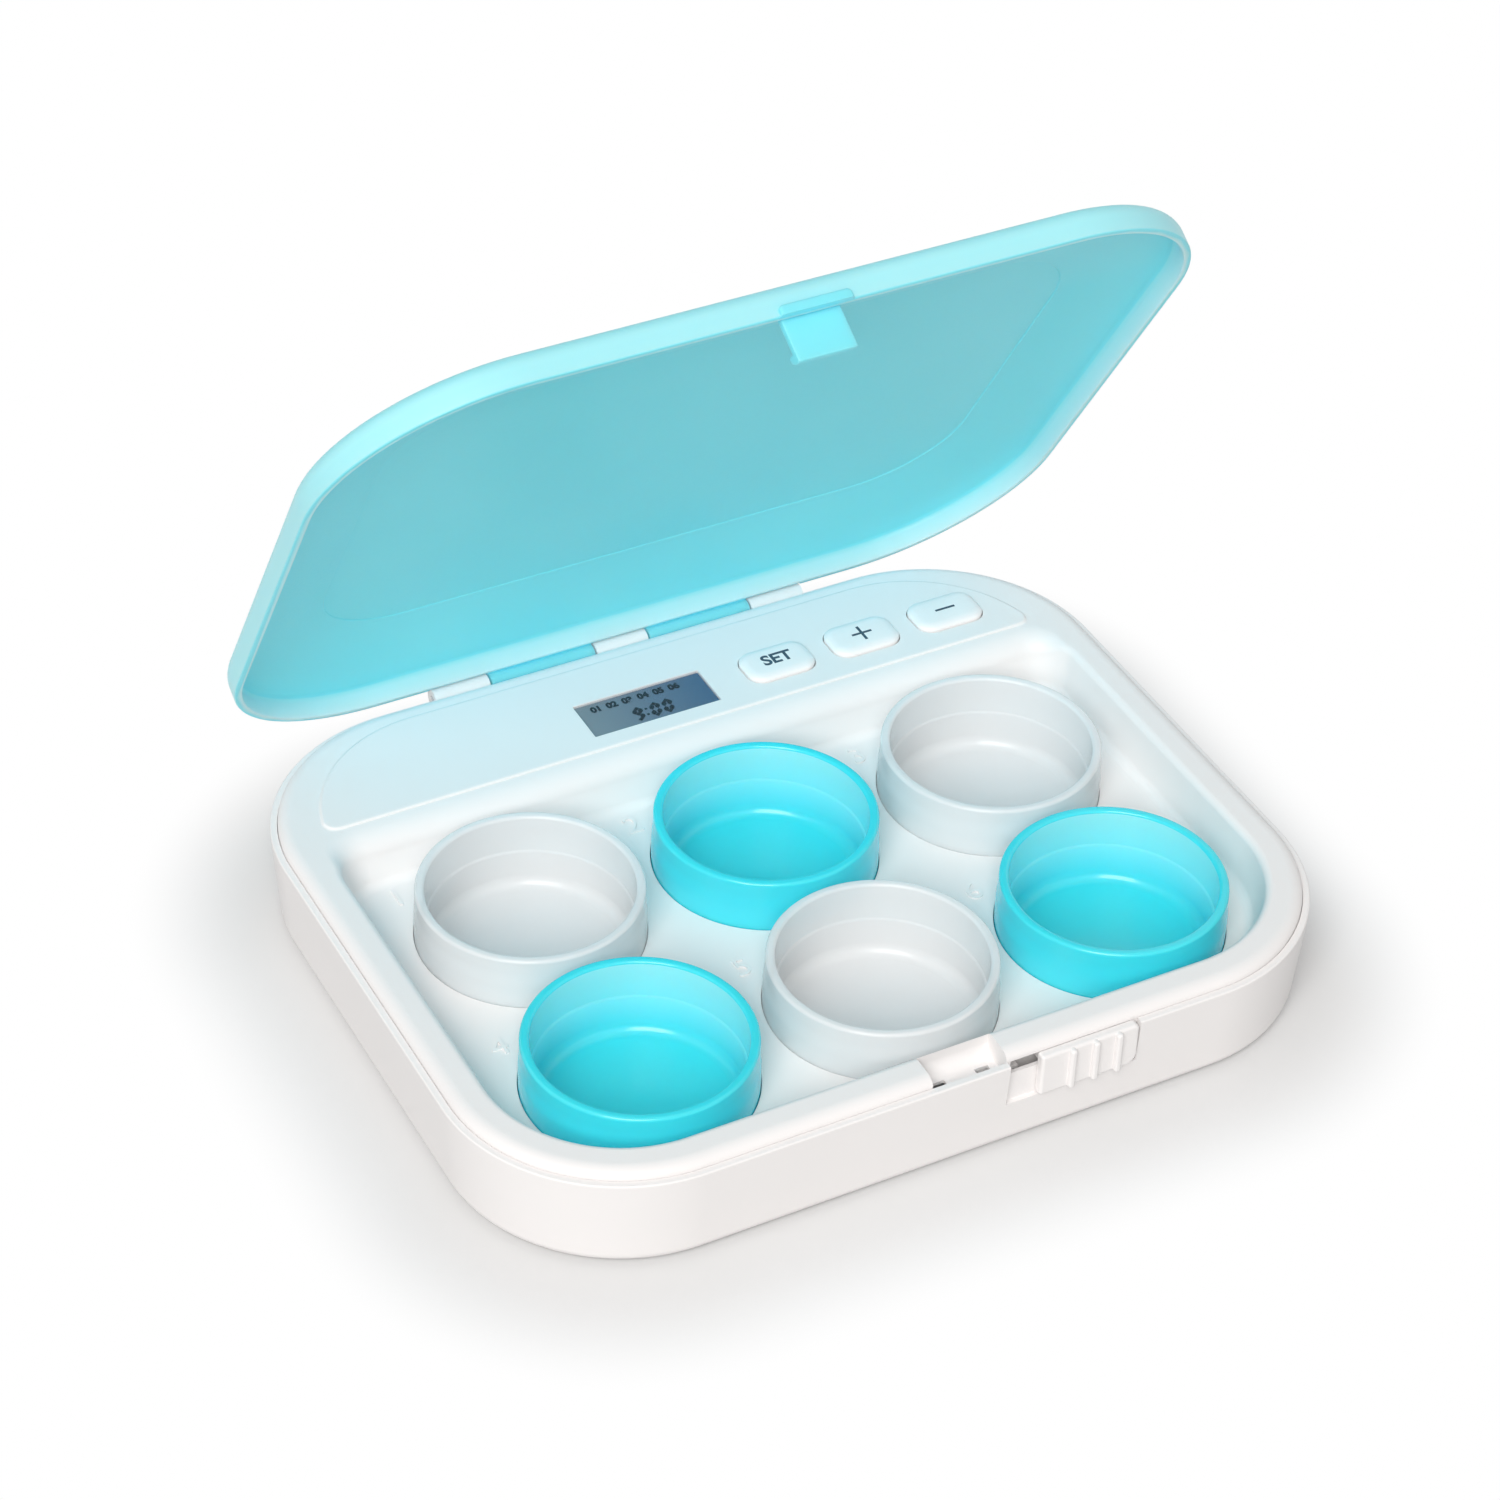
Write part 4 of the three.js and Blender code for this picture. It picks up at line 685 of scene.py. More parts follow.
def control_plateau():
    """The panel's low plateau, with a soft step up from the deck and a rounded top edge."""
    middle_x, middle_y = panel_half - panel_radius, panel_back - panel_radius
    start = asin((panel_front + panel_front_radius - middle_y) / panel_radius)
    steps, turn = 36, 10

    def outline(grow):
        radius = panel_radius + grow
        end_x = middle_x + radius * cos(start)
        front = panel_front - grow
        half = [(end_x - panel_front_radius * (1 - t) ** 2,
                 front + (panel_front_radius + grow) * t * t)
                for t in [i / turn for i in range(turn)]]
        half += arc(middle_x, middle_y, radius, degrees(start), 90, steps)
        return half + [(-x, y) for x, y in reversed(half)]

    # How far each ring lies outside the panel's edge, and how high above the deck
    rows = [(0.55, -deck_wall / 2), (0.55, -0.01), (0.3, 0.03), (0.12, 0.12), (0.02, 0.22),
            (-0.05, 0.3), (-0.2, 0.37), (-0.42, panel_rise)]
    return loft([[(x, y, rim_height + rise) for x, y in outline(grow)] for grow, rise in rows])


def display_plan(grow=0.0):
    return plan_about(lcd_middle_x, control_row_y, lcd_width, lcd_height, lcd_corner_radius, grow)


def window_plan(grow=0.0):
    """The opening in the panel, which frames what shows of the display."""
    return plan_about(window_middle_x, window_middle_y, window_width, window_height,
                      window_radius, grow)


def button_plan(x, grow=0.0):
    return plan_about(x, control_row_y, button_width, button_depth, button_radius + grow, grow, 12)


def deck_shell():
    outer_grow, inner_grow = -touch_gap, -seat_gap - skirt_wall
    skirt_foot = seam_height - rebate_depth + seat_gap
    tub_foot = tray_floor_height - deck_wall
    top, tray_top = rim_height - deck_wall / 2, tray_floor_height - deck_wall / 2
    under = deck_underside - overrun
    shell = cut(
        stack(footprint, [(outer_grow, skirt_foot), *round_over(
            outer_grow, rim_height - shoulder_drop, shoulder_reach, shoulder_drop, 10)]),
        stack(footprint, [
            (inner_grow, skirt_foot - overrun), (inner_grow, deck_underside - shoulder_drop / 2),
            (inner_grow - shoulder_reach / 2, deck_underside)]))
    join(shell,
         stack(tray_plan, [(deck_wall - tray_taper - tray_foot_radius, tub_foot),
                           (deck_wall - tray_taper, tub_foot + tray_foot_radius),
                           (deck_wall, deck_underside + deck_wall / 2)]),
         block(-tray_half, tray_half, tray_back, tray_back + tray_back_slope + deck_wall / 2,
               deck_underside - tray_back_drop, deck_underside + deck_wall / 2),
         *columns(cup_places, well_floor_height - well_wall, tray_top, well_radius + well_wall,
                  steps=round_steps),
         control_plateau(),
         *[column(x, y, boss_top + touch_gap, tray_top if y < 0 else top, deck_boss_radius)
           for x, y in screw_places],
         *columns(board_posts, on_board, top, board_post_radius),
         block(-notch_half - skirt_wall, notch_half + skirt_wall,
               seat_gap + skirt_wall - half_depth, tray_front - deck_wall / 2,
               slot_foot - seat_gap, top))
    # The wells' mouths and the openings in the panel have small rounded edges
    well = [(0, well_floor_height)]
    well += [(well_radius - well_foot * inwards, well_floor_height + well_foot * up)
             for inwards, up in ((1, 0), (0.25, 0.3125), (0, 1))]
    well += [(well_radius + well_mouth * out, tray_floor_height - well_mouth * down)
             for out, down in ((0, 1), (0.08, 0.6), (0.35, 0.2), (1, 0))]
    mouth_top = tray_floor_height + overrun
    well += [(well_radius + well_mouth, mouth_top), (0, mouth_top)]

    def opening(shape, *edge):
        return stack(shape, [(0, under), *[(grow, panel_top - down) for grow, down in edge],
                             (edge[-1][0], panel_top + overrun)])

    cut(shell, tray_hollow(), *[lathe(well, x, y) for x, y in cup_places],
        opening(window_plan(), (0, 0.1), (0.03, 0.03), (0.1, 0)),
        stack(display_plan(lcd_border + touch_gap), [(0, under), (0, lens_top + touch_gap)]),
        *[opening(button_plan(x, button_clearance), (0, 0.3), (0.08, 0.1), (0.3, 0))
          for x in button_positions],
        *columns(screw_places, boss_top - overrun,
                 screw_sink + screw_head_height + screw_length + seat_gap,
                 screw_radius + touch_gap),
        *columns(board_posts, board_top - overrun, board_level + board_screw_length + seat_gap,
                 board_screw_radius + touch_gap),
        *deck_latch_cuts())
    settle(shell, "deck_shell", white_abs, ["deck"])


def deck_latch_cuts():
    front, top, foot = -(half_depth + overrun), rim_height + overrun, slot_foot - overrun
    notch_floor = seam_height - notch_floor_drop
    rail_space, far_end = rail_back_y + running_gap, web_end + running_gap
    return [
        run_along_x([(front, notch_floor), *arc(
            notch_back_y - notch_round, notch_floor + notch_round, notch_round, -90, 0, 12),
            (notch_back_y, top), (front, top)], -notch_half, notch_half),
        *[block(*sizes) for sizes in [
            (-notch_half, notch_half, front, rail_front_y, foot, rail_top + touch_gap),
            (tongue_start - seat_gap, tongue_end + seat_gap, front, tongue_back_y + seat_gap,
             foot, top),
            *[(x - touch_gap, x + hook_width + touch_gap, front, hook_back_y + seat_gap / 2,
               foot, top) for x in hook_starts],
            (notch_half - overrun, far_end, front, rail_space, foot, rail_top + touch_gap),
            (web_start - slider_travel - running_gap, far_end, front, rail_space, foot,
             seam_height - touch_gap),
            (pocket_start - touch_gap, pocket_end + touch_gap, front, seat_gap - half_depth,
             foot, seam_height - touch_gap)]]]


def lid_form(grow, side, top, radius, step):
    """The lid's outside or inside: the lip, the wall, a rounded edge and the crown. The crown
    turns flat over a small radius, or over a fine step that shows as a line."""
    rows = [(grow + side * lip_round, lip_height),
            (grow + side * lip_round * 0.3, lip_height + lip_round * 0.3),
            (grow, lip_height + lip_round), *round_over(grow, top - radius, radius, radius)]
    if side > 0:
        rows.insert(0, (grow + lip_round, lip_height - overrun))
    rings = [level(footprint, *row) for row in rows]
    crown_plan = plan(-lid_crown_half, lid_crown_half, -lid_crown_half_depth, lid_crown_half_depth,
                      lid_crown_radius)
    low, high = ring(footprint, rows[-1][0]), ring(crown_plan, 0)
    for share in (0.25, 0.5, 0.75, 0.9, 0.95, 1.0):
        height = share - max(0, share - 0.9) ** 2 / 0.4
        rings.append([(a[0] + (b[0] - a[0]) * share, a[1] + (b[1] - a[1]) * share,
                       top + lid_crown_rise * height / 0.975) for a, b in zip(low, high)])
    return loft([*rings, *[level(crown_plan, -inset, top + lid_crown_rise + rise)
                           for inset, rise in ((0.08, 0), (0.3, step), (0.8, step))]])


def lid_shell():
    inner_top = lid_edge_height - lid_top_wall
    wall_y = half_depth + lid_overhang - lid_wall / 2
    shell = cut(lid_form(lid_overhang, -1, lid_edge_height, lid_edge_radius, 0),
                lid_form(lid_overhang - lid_wall, 1, inner_top, lid_inner_radius, lid_crown_step))
    join(shell, *lid_tongue(), lid_collar(), *barrels(knuckle_spans, [
        (wall_y, lip_height), (hinge_y, lip_height), (hinge_y, hinge_z + barrel_radius),
        (wall_y, lip_height + knuckle_web_rise)], running_gap))
    cut(shell, *[hinge_bar(x0 - running_gap, x1 + running_gap, barrel_radius + running_gap)
                 for x0, x1 in lug_spans],
        hinge_bar(-hinge_end - overrun, hinge_end + overrun, hinge_pin_radius + hinge_running_gap))
    # The lid's side wall is painted paler, outside and in: a painted glow and sheen
    paint_glow_by(shell, lid_painted_glow)
    swing = placed(0, hinge_y, hinge_z, -lid_open_angle, "X") @ placed(0, -hinge_y, -hinge_z)
    settle(shell, "lid_shell", lid_pp, ["lid"], "lid", places=swing)


def lid_painted_glow(x, y, z):
    """How far a point is painted paler, as painted light: the lid's side wall, outside and in,
    which ends in the top's rounded edge.
    """
    out = hypot(max(0, abs(x) - half_length + corner_radius),
                max(0, abs(y) - half_depth + corner_radius)) - corner_radius
    inwards = lid_overhang - lid_edge_radius
    reach = hypot(out - inwards, max(0, z - lid_edge_height + lid_edge_radius))
    if z < lip_height - 0.01 or not inwards - 0.1 < out < lid_overhang + 0.1:
        return 0
    if reach > lid_edge_radius - 0.1:
        return lid_painted_glow_share * max(0, min(1, (lid_edge_height + 0.3 - z) / 2.5))
    return lid_inner_painted_glow_share * (abs(out) < 0.4) * max(
        0, min(1, (lid_edge_height - lid_top_wall - z) / 2))


def lid_tongue():
    bridge_foot = lip_height + collar_height / 2
    bridge_top = lid_edge_height - lid_top_wall
    hook_root = tongue_back_y - tongue_wall / 2
    return [
        block(tongue_start, tongue_end, tongue_front_y, tongue_back_y, tongue_foot, bridge_top,
              tongue_edge),
        block(tongue_start, tongue_end, -half_depth - lid_overhang / 2, tongue_back_y, bridge_foot,
              bridge_top),
        *[run_along_x([
            (hook_root, tongue_foot + 0.1), (tongue_back_y, tongue_foot + 0.1),
            (hook_back_y, hook_top - hook_height / 2), (hook_back_y, hook_top),
            (hook_root, hook_top)], x, x + hook_width) for x in hook_starts]]


def lid_collar():
    half, radius = tongue_width / 2 + collar_margin, collar_height / 2
    face = plan(collar_middle - half, collar_middle + half, lip_height - radius,
                lip_height + collar_height, radius, 10)
    root, front = half_depth + lid_overhang / 2, half_depth + lid_overhang + collar_rise
    form = upright(face, [(0, root), *round_over(0, front - collar_edge, collar_edge, collar_edge)])
    return cut(form, block(collar_middle - half - overrun, collar_middle + half + overrun,
                           -front - overrun, -root + overrun, lip_height - collar_height,
                           lip_height))


def latch_slider():
    plate_back = pocket_floor_y - touch_gap
    plate_front = slider_wall - plate_back
    catch_starts = [x + running_gap / 2 + slider_travel for x in hook_starts]
    face = plan(slider_start, slider_end, slider_foot, slider_top, [1, 0.5, 0.5, 2.2], 10)
    body = upright(face, [(-0.2, -plate_back), (0, 0.2 - plate_back), *round_over(
        0, plate_front - slider_face_edge, slider_face_edge, slider_face_edge)])
    web_top = seam_height - running_gap
    join(body, *[block(x0, x1, y, rail_back_y, z0, z1) for x0, x1, y, z0, z1 in [
        (web_start, web_end, plate_back - slider_wall / 2, slot_foot + running_gap, web_top),
        (web_start, web_end, rail_front_y, rail_foot, web_top),
        (catch_starts[0], web_end, rail_front_y, rail_foot, rail_top),
        *[(x, x + hook_width - running_gap, rail_front_y - catch_depth,
           hook_top + catch_clearance, rail_top) for x in catch_starts]]])
    # Three grip ribs, with their ends rounded off
    first = (slider_start + slider_end) / 2 + rib_offset - slider_rib_pitch
    rib_front = plate_front + rib_rise
    rib = upright(plan(first - slider_rib_width / 2, first + slider_rib_width / 2,
                       slider_foot + 0.1, slider_top - 0.1, slider_rib_width * 0.45, 6),
                  [(0, plate_front - slider_face_edge), (0, rib_front - rib_end_round - 0.05),
                   *round_over(0, rib_front - rib_end_round, 0.45, rib_end_round)])
    run_tree(rib, even_row, Count=slider_rib_count, Pitch=slider_rib_pitch, Finish=white_abs)
    for solid, name in ((body, "piece"), (rib, "ribs")):
        settle(solid, "latch_slider_" + name, white_abs, ["latch_slider"], "latch_slider")


def cup_profile():
    height = cup_rim_height - well_floor_height - seat_gap
    body, inner = cup_radius + cup_body_grow, cup_radius - cup_wall
    lower, rim, foot = inner - cup_step_width, cup_wall / 2 * 0.7, cup_foot_radius
    collar, step = height - cup_collar_height - cup_collar_drop, height - cup_step_depth
    return [
        (0, 0), *arc(body - foot, foot, foot, -90, 0, 8), (body, collar),
        *[(body - cup_body_grow * (3 - 2 * t) * t * t, collar + cup_collar_slope * t)
          for t in (0.2, 0.4, 0.6, 0.8, 1.0)],
        *arc(cup_radius - rim, height - rim, rim, 0, 90, 6),
        *arc(inner + rim, height - rim, rim, 90, 180, 6),
        (inner, step + 0.3), (inner - 0.1, step), (lower, step - cup_step_width),
        *arc(lower - foot, cup_floor + foot, foot, 0, -90, 8), (0, cup_floor)]


# How far a point inside a cup is painted paler, more the higher up: painted light
def cup_painted_glow(x, y, z):
    inside = hypot(x, y) < cup_radius - cup_wall + 0.02
    return inside * max(0, min(1, (z - cup_floor) / cup_painted_glow_height))


def cups():
    points = [(radius - cup_radius, -height, 0) for radius, height in cup_profile()]
    for i, (x, y) in enumerate(cup_places):
        material, name = blue_pp if i % 2 else clear_pp, f"cup_{i + 1}"
        pot = drawn("pot", points, [(k, k + 1) for k in range(len(points) - 1)])
        tidy(run_tree(pot, turned_pot, Radius=float(cup_radius), Steps=144, Finish=material))
        # The inside of each cup is painted paler towards its rim: painted light, which the blue
        # cups' material shows
        paint_glow_by(pot, cup_painted_glow)
        settle(pot, name + "_pot", material, [name], name, 40,
               placed(x, y, well_floor_height + seat_gap))


def lettering(text, size, x, y, z, thick, heavier=0.0):
    """Words, digits or signs as a thin plate lying at a height, centred on a place."""
    curve = bpy.data.curves.new("lettering", "FONT")
    curve.body, curve.size, curve.offset, curve.extrude = text, size, heavier, thick / 2
    curve.align_x, curve.align_y = "CENTER", "CENTER"
    outline = new_object("outline", curve)
    mesh = evaluated(outline)
    bpy.data.objects.remove(outline)
    mesh.transform(placed(x, y, z + thick / 2))
    return tidy(new_object("lettering", mesh))


def gather(solids):
    """Puts separate solids into one object."""
    first, shape = solids[0], bmesh.new()
    for solid in solids:
        shape.from_mesh(solid.data)
    for solid in solids[1:]:
        bpy.data.objects.remove(solid)
    shape.to_mesh(first.data)
    shape.free()
    return first


def buttons():
    """Caps like small pillows, each with its flange and stem, and its sign printed on top."""
    names = ["button_set", "button_plus", "button_minus"]
    top = panel_top + button_rise
    for name, x in zip(names, button_positions):
        cap = stack(button_plan(x), [
            (button_flange, flange_foot), (button_flange, flange_top), (0, flange_top + 0.01),
            *round_over(0, top - button_crown - button_round_rise, button_round_reach,
                        button_round_rise, 12),
            *[(-button_round_reach - out, top - button_crown * drop)
              for out, drop in ((0.6, 0.3), (1.3, 0))]])
        join(cap, column(x, control_row_y, stem_foot, flange_top - 0.1, button_stem_radius))
        settle(cap, name + "_cap", button_abs, [name], name, 40)
    printed = top - print_sink
    word_x, plus_x, minus_x = button_positions

    def stroke(x, hx, hy):
        return block(x - hx, x + hx, control_row_y - hy, control_row_y + hy, printed,
                     printed + print_wall)

    signs = [lettering("SET", word_size, word_x, control_row_y, printed, print_wall, 0.11),
             join(stroke(plus_x, sign_half, stroke_half), stroke(plus_x, stroke_half, sign_half)),
             stroke(minus_x, sign_half, stroke_half)]
    for solid, name in zip(signs, names):
        settle(solid, name + "_print", ink, body=name)


def segment_digit(digit, x, y, height, foot):
    """A leaning seven-segment digit: bars with cut ends, flat on the glass."""
    width, thick = height * 0.37, height * 0.3
    half, middle = thick / 2, height / 2
    # The bars in half heights up the digit: top, upper right, lower right, foot, lower left,
    # upper left and middle
    bars = [(0, 2, 1, 2), (1, 2, 1, 1), (1, 1, 1, 0), (0, 0, 1, 0), (0, 1, 0, 0), (0, 2, 0, 1),
            (0, 1, 1, 1)]
    solids = []
    for i in {"0": (0, 1, 2, 3, 4, 5), "9": (0, 1, 2, 3, 5, 6)}[digit]:
        x0, y0, x1, y1 = bars[i]
        start, end = Vector((x0 * width, y0 * middle)), Vector((x1 * width, y1 * middle))
        along = (end - start).normalized()
        across = Vector((-along.y, along.x))
        tip = along * thick * 0.05
        outline = [start + tip, start + tip + (along + across) * half,
                   end - tip + (across - along) * half, end - tip,
                   end - tip - (across + along) * half, start + tip + (along - across) * half]
        solids.append(loft([[(x + p.x - width / 2 + figure_lean * (p.y - middle),
                              y + p.y - middle, z) for p in outline]
                            for z in (foot, foot + figure_wall)]))
    return solids


def display():
    """The glass stands up into the window, and the lens lies over it like a low cover. The six
    alarm numbers stand in a row, and the time below them."""
    def field(inset, low, high):
        return stack(window_plan(-inset), [(0, low), (0, high)])

    def plate(wall, top, inset, high):
        return join(stack(display_plan(lcd_border), [(0, top - wall), (0, top)]),
                    field(inset, top - wall / 2, high))

    settle(plate(lcd_glass_wall, glass_top, pane_inset, display_height), "lcd_glass_pane",
           display_glass, ["lcd_glass"])
    cover = cut(plate(lens_wall, lens_top, cover_inset, cover_top),
                field(cover_hollow_inset, lens_foot - overrun, cover_foot))
    settle(cover, "lcd_lens_cover", clear_acrylic, ["lcd_lens"])

    foot = display_height + figure_wall / 2
    figures = [lettering(f"0{i + 1}", alarm_size, alarm_x + alarm_pitch * i, alarm_y, foot,
                         figure_wall, 0.12) for i in range(6)]
    for digit, place in zip("900", time_places):
        figures += segment_digit(digit, time_x + place, time_y, time_size, foot)
    figures += [column(time_x + figure_lean * rise - colon_left, time_y + rise, foot,
                       foot + figure_wall, colon_radius, 16) for rise in (-colon_rise, colon_rise)]
    settle(gather(figures), "display_figures", lcd_ink)


def tray_numbers():
    """Raised numbers in the tray, one behind each cup on its left."""
    settle(gather([lettering(str(i + 1), number_size, x - number_left, y + number_back,
                             tray_floor_height - number_sink, number_wall, -0.02)
                   for i, (x, y) in enumerate(cup_places)]), "tray_numbers", white_abs)


def set_on(form, places, name, material, node):
    """Sets a form on each place and keeps them as one piece of the case."""
    points = run_tree(drawn(name, places), set_on_points, Piece=form, Finish=material)
    bpy.data.objects.remove(form)
    settle(points, name, material, [f"{node}_{i + 1}" for i in range(len(places))])


def screws(head_radius, head_height, radius, length, places, z, name, node):
    """Pan-head screws, heads down: cross recess, rounded head edge and rolled thread."""
    edge, root, end = head_height * 0.45, radius * 0.8, head_height + length
    profile = [(0, 0), *arc(head_radius - edge, edge, edge, -90, 0, 5),
               (head_radius, head_height), (root, head_height)]
    crest = head_height + 0.3
    while crest < end - radius - thread_pitch:
        profile += [(root, crest), (radius, crest + thread_pitch * 0.4),
                    (radius, crest + thread_pitch * 0.55)]
        crest += thread_pitch
    solid = lathe([*profile, (root, crest), (radius * 0.15, end), (0, end)], steps=32)
    reach, blade, deep = head_radius * 0.6, head_radius * 0.13, head_height * 0.6
    cut(solid, join(block(-reach, reach, -blade, blade, -overrun, deep),
                    block(-blade, blade, -reach, reach, -overrun, deep)))
    set_on(solid, [(x, y, z) for x, y in places], name, plated_steel, node)


def fixings():
    screws(screw_head_radius, screw_head_height, screw_radius, screw_length, screw_places,
           screw_sink, "case_screws", "case_screw")
    screws(board_screw_head_radius, board_screw_head_height, board_screw_radius,
           board_screw_length, board_posts, board_level - touch_gap - board_screw_head_height,
           "board_screws", "board_screw")
    pad = lathe([(0, 0), (foot_radius - foot_edge - 1, 0),
                 *arc(foot_radius - foot_edge, foot_edge, foot_edge, -90, 0, 6),
                 (foot_radius, foot_wall), (0, foot_wall)], steps=64)
    set_on(pad, [(x, y, -foot_drop) for x, y in foot_places], "feet", foot_rubber, "foot")


def cells():
    """Two cells lying opposite ways: film sleeve, a band at the raised end, steel ends. The flat
    end has a shallow pressed ring, and the raised tip an eased edge."""
    half, edge, steel_radius = cell_length / 2, film_edge, cell_radius - 0.9
    shoulder = half - cell_tip_length
    band, low, high = shoulder - cell_band, film_inset - half, shoulder - film_inset
    forms = [
        ("sleeve", cell_film, [(0, low), *arc(cell_radius - edge, low + edge, edge, -90, 0, 5),
                               (cell_radius, band), (0, band)]),
        ("band", cell_band_film, [(0, band), (cell_radius, band), *arc(
            cell_radius - edge, high - edge, edge, 0, 90, 5), (0, high)]),
        ("ends", plated_steel, [
            (0, -half), (2.6, -half), (2.9, 0.15 - half), (cell_radius - 1, 0.15 - half),
            (steel_radius, 0.5 - half), (steel_radius, shoulder - 0.4),
            (cell_radius - 1, shoulder - 0.05), (cell_tip_radius + 0.2, shoulder - 0.05),
            (cell_tip_radius, shoulder + 0.1), (cell_tip_radius, half - 0.25),
            (cell_tip_radius - 0.25, half), (0, half)])]
    for i, (y, angle) in enumerate(((cell_front_y, 90), (cell_back_y, -90))):
        node = f"battery_{i + 1}"
        for name, material, profile in forms:
            settle(lathe(profile, steps=96), f"{node}_{name}", material, [node],
                   places=placed(cell_middle_x, y, cell_level, angle))


def contacts():
    """Stamped plates with rolled edges, and wound springs where a cell's flat end presses."""
    foot = case_floor + seat_gap
    top, tab_top = foot + contact_height, board_level - seat_gap
    left, right = bay_start + touch_gap, bay_end - touch_gap - contact_wall

    def plate(x, y, width=contact_width, low=foot, high=top):
        return block(x, x + contact_wall, y - width / 2, y + width / 2, low, high,
                     contact_edge, 2)

    def ended(y):
        return join(plate(right, y), plate(right, y, tab_width, foot + overrun, tab_top))

    plates = {
        "link": join(plate(left, cell_front_y), plate(left, cell_back_y),
                     plate(left, (cell_front_y + cell_back_y) / 2, cell_pitch_y + 1,
                           case_floor + rib_height + seat_gap)),
        "negative": ended(cell_back_y),
        "positive": join(ended(cell_front_y), rod([
            (right - stud_rise, stud_radius), (right + contact_wall / 4, stud_radius)],
            cell_front_y, cell_level, small_steps))}
    for name, solid in plates.items():
        settle(solid, f"contact_{name}_plate", plated_steel, ["contact_" + name])
    for node, x, y, turn in (("contact_link", left + contact_wall, cell_front_y, 90),
                             ("contact_negative", right, cell_back_y, -90)):
        spring = run_tree(
            drawn("spring", []), conical_spring, Turns=spring_turns, Foot=spring_radius,
            Tip=spring_radius * spring_tip_share, Height=spring_lift - 2 * spring_wire,
            Wire=spring_wire,
            Finish=plated_steel)
        settle(spring, node + "_spring", plated_steel, [node], "case", 60,
               placed(x, y, cell_level, turn) @ placed(0, 0, spring_wire))


def battery_door():
    """A sliding cover in the case's own outline, with ribs in its finger recess."""
    grip_y, middle_x = door_lip_y - grip_inset, (door_start + door_end) / 2
    plate, *others = door_blocks(-door_gap, 0, door_wall, door_lip_y, door_wall)
    body = combine(join(plate, *others), [case_form()], "INTERSECT")
    recess = plan_about(middle_x, grip_y, grip_length, grip_width, grip_width / 2, 0, corner_steps)
    cut(body, stack(recess, [(0.3, -overrun), (0.3, 0), (0.08, 0.12), (0, 0.3),
                             (-0.2, grip_depth)]))
    settle(body, "battery_door_cover", white_abs, ["battery_door"], "battery_door")
    reach = (grip_length - grip_width) / 2 + 1
    rib = block(-reach, reach, -grip_rib_width / 2, grip_rib_width / 2, 0.12, grip_depth + 0.1,
                grip_rib_edge, 2)
    # A row steps along X: the ribs are turned to lie across it, and then all to step along Y
    rib.data.transform(placed(0, 0, 0, -90, "Z"))
    run_tree(rib, even_row, Count=grip_rib_count, Pitch=grip_pitch, Finish=white_abs)
    settle(rib, "battery_door_ribs", white_abs, ["battery_door"], "battery_door",
           places=placed(middle_x, grip_y - grip_pitch, 0, 90, "Z"))


def hinge_pin():
    tip = hinge_pin_radius - hinge_pin_edge
    settle(rod([(-hinge_end, tip), (hinge_pin_edge - hinge_end, hinge_pin_radius),
                (hinge_end - hinge_pin_edge, hinge_pin_radius), (hinge_end, tip)],
               hinge_y, hinge_z), "hinge_pin_rod", plated_steel, ["hinge_pin"])


for make in (bottom_case, deck_shell, lid_shell, latch_slider, cups, buttons, display,
             tray_numbers, fixings, cells, contacts, battery_door, hinge_pin):
    make()


# What keeps the frame's own solid takes its finish here

for node_name, material in {
        "circuit_board": board_laminate, "chip_blob": chip_epoxy, "crystal": plated_steel,
        "buzzer": black_abs, "lcd_holder": black_abs, "zebra_strip": strip_rubber,
        "key_membrane": grey_silicone}.items():
    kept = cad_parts[node_name]
    kept.data.materials.clear()
    kept.data.materials.append(material)


# Floor, light and camera


def seen_rays(tree):
    """1 for what the camera sees, straight or in gloss and glass, and 0 for soft light."""
    rays = add(tree, "LightPath").outputs
    seen = add(tree, "Math", {0: rays["Is Camera Ray"], 1: rays["Is Glossy Ray"]},
               operation="MAXIMUM")
    return add(tree, "Math", {0: seen, 1: rays["Is Transmission Ray"]}, operation="MAXIMUM")


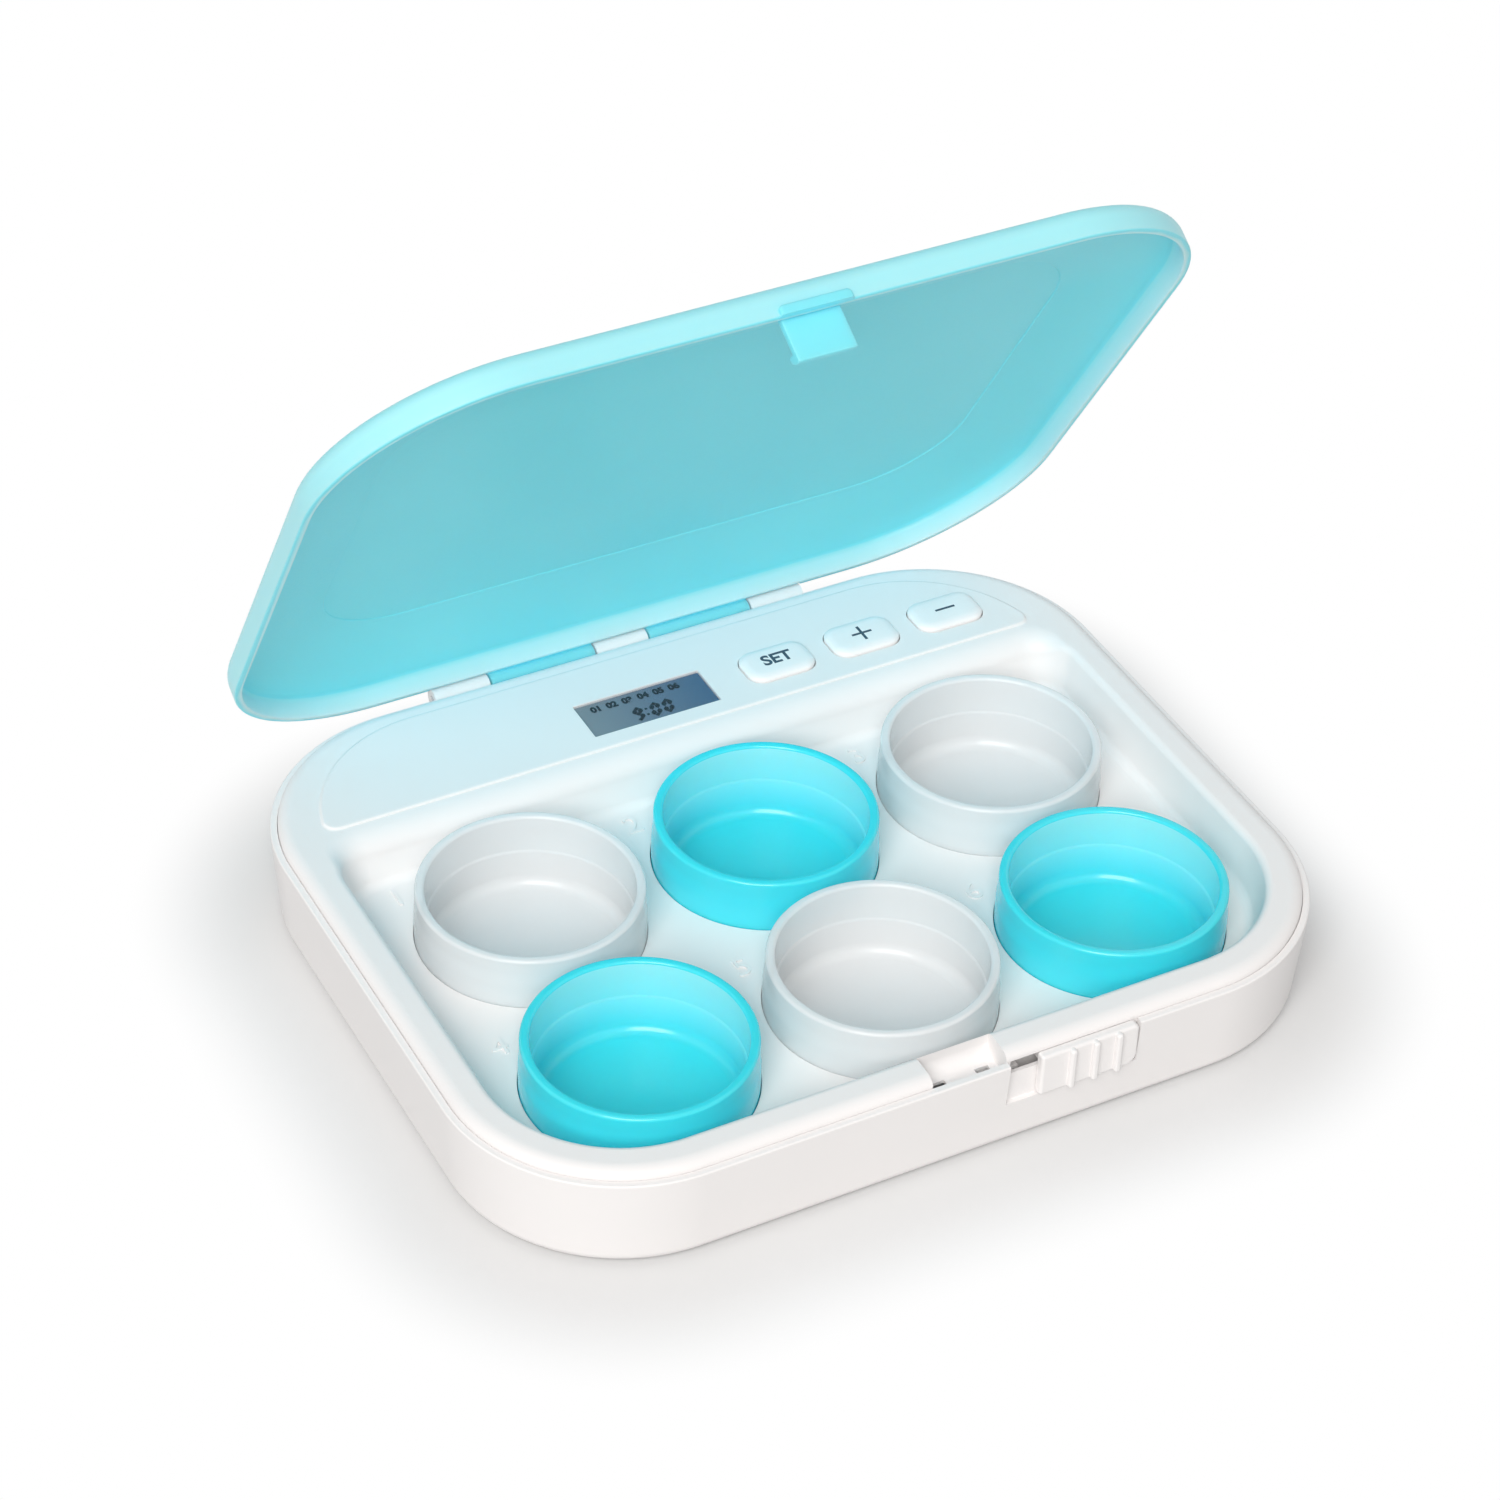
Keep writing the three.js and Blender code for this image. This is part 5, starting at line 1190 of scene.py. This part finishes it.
def studio():
    reach, floor_z, painted_shadow_reach = 6, -foot_drop * MM, 28
    corners = [(-reach, -reach), (reach, -reach), (reach, reach), (-reach, reach)]
    floor = drawn("floor", [(x, y, floor_z) for x, y in corners], faces=[(0, 1, 2, 3)])
    paper, tree, place = start_material("white_paper_floor_painted_shadow")
    seen = seen_rays(tree)
    tone = add(tree, "Mix", {0: seen, 6: "#d2d2d2", 7: "#e2e2e2"}, data_type="RGBA")
    # Away from the case's outline the seen floor turns to plain white, and near it the real shadow
    # stays. The floor seen there is grey besides, a painted shadow all round the outline
    corner = ((half_length - corner_radius) * MM, (half_depth - corner_radius) * MM, 1)
    none = (0, 0, 0)
    for operation, value in (("ABSOLUTE", none), ("SUBTRACT", corner), ("MAXIMUM", none),
                             ("LENGTH", none)):
        place = add(tree, "VectorMath", {0: place, 1: value}, operation=operation)
    share = add(tree, "MapRange", {
        "Value": place, "From Min": corner_radius * MM, "From Max": (corner_radius + painted_shadow_reach) * MM},
        interpolation_type="SMOOTHSTEP")
    surface = add(tree, "MixShader", {
        0: add(tree, "Math", {0: share, 1: seen}, operation="MULTIPLY"),
        1: add(tree, "BsdfDiffuse", {"Color": tone}),
        2: add(tree, "Emission", {"Color": "#ffffff", "Strength": 1.0})})
    add(tree, "OutputMaterial", {"Surface": surface})
    floor.data.materials.append(paper)

    world = bpy.context.scene.world = bpy.data.worlds.new("studio")
    tree = empty_tree(world)
    strength = add(tree, "MapRange", {
        "Value": seen_rays(tree), "To Min": 0.41, "To Max": 1.0})
    add(tree, "OutputWorld", {"Surface": add(tree, "Background", {
        "Color": "#ffffff", "Strength": strength})})

    # One large soft box, high on the left in front
    lamp = bpy.data.lights.new("key", "AREA")
    lamp.size, lamp.energy, lamp.color = 1.7, 73, (1, 0.985, 0.967)
    key = new_object("key", lamp)
    key.location = (-1.4, -1.75, 2.0)
    key.rotation_euler = (Vector((0, 0, 0.02)) - key.location).to_track_quat("-Z", "Y").to_euler()


def camera():
    """The photograph's own camera: angles in degrees, lengths in millimetres and pixels."""
    azimuth, elevation, roll = map(radians, (-28.873, 38.695, 2.031))
    target, distance, focal, across = Vector((5.36, 24.5, 21.33)), 734.1, 4089.1, 1500
    back = Vector((sin(azimuth) * cos(elevation), -cos(azimuth) * cos(elevation), sin(elevation)))
    right = Vector((cos(azimuth), sin(azimuth), 0))
    up = back.cross(right)
    lens = bpy.data.cameras.new("camera")
    lens.sensor_fit, lens.sensor_width = "HORIZONTAL", 36
    lens.lens = focal / across * lens.sensor_width
    lens.clip_start, lens.clip_end = 0.01, 50
    obj = bpy.context.scene.camera = new_object("camera", lens)
    side, top = cos(roll) * right + sin(roll) * up, cos(roll) * up - sin(roll) * right
    spot = (target + back * distance) * MM
    obj.matrix_world = Matrix(((*side, 0), (*top, 0), (*back, 0), (*spot, 1))).transposed()


studio()
camera()
bpy.context.scene.view_settings.view_transform = "Standard"
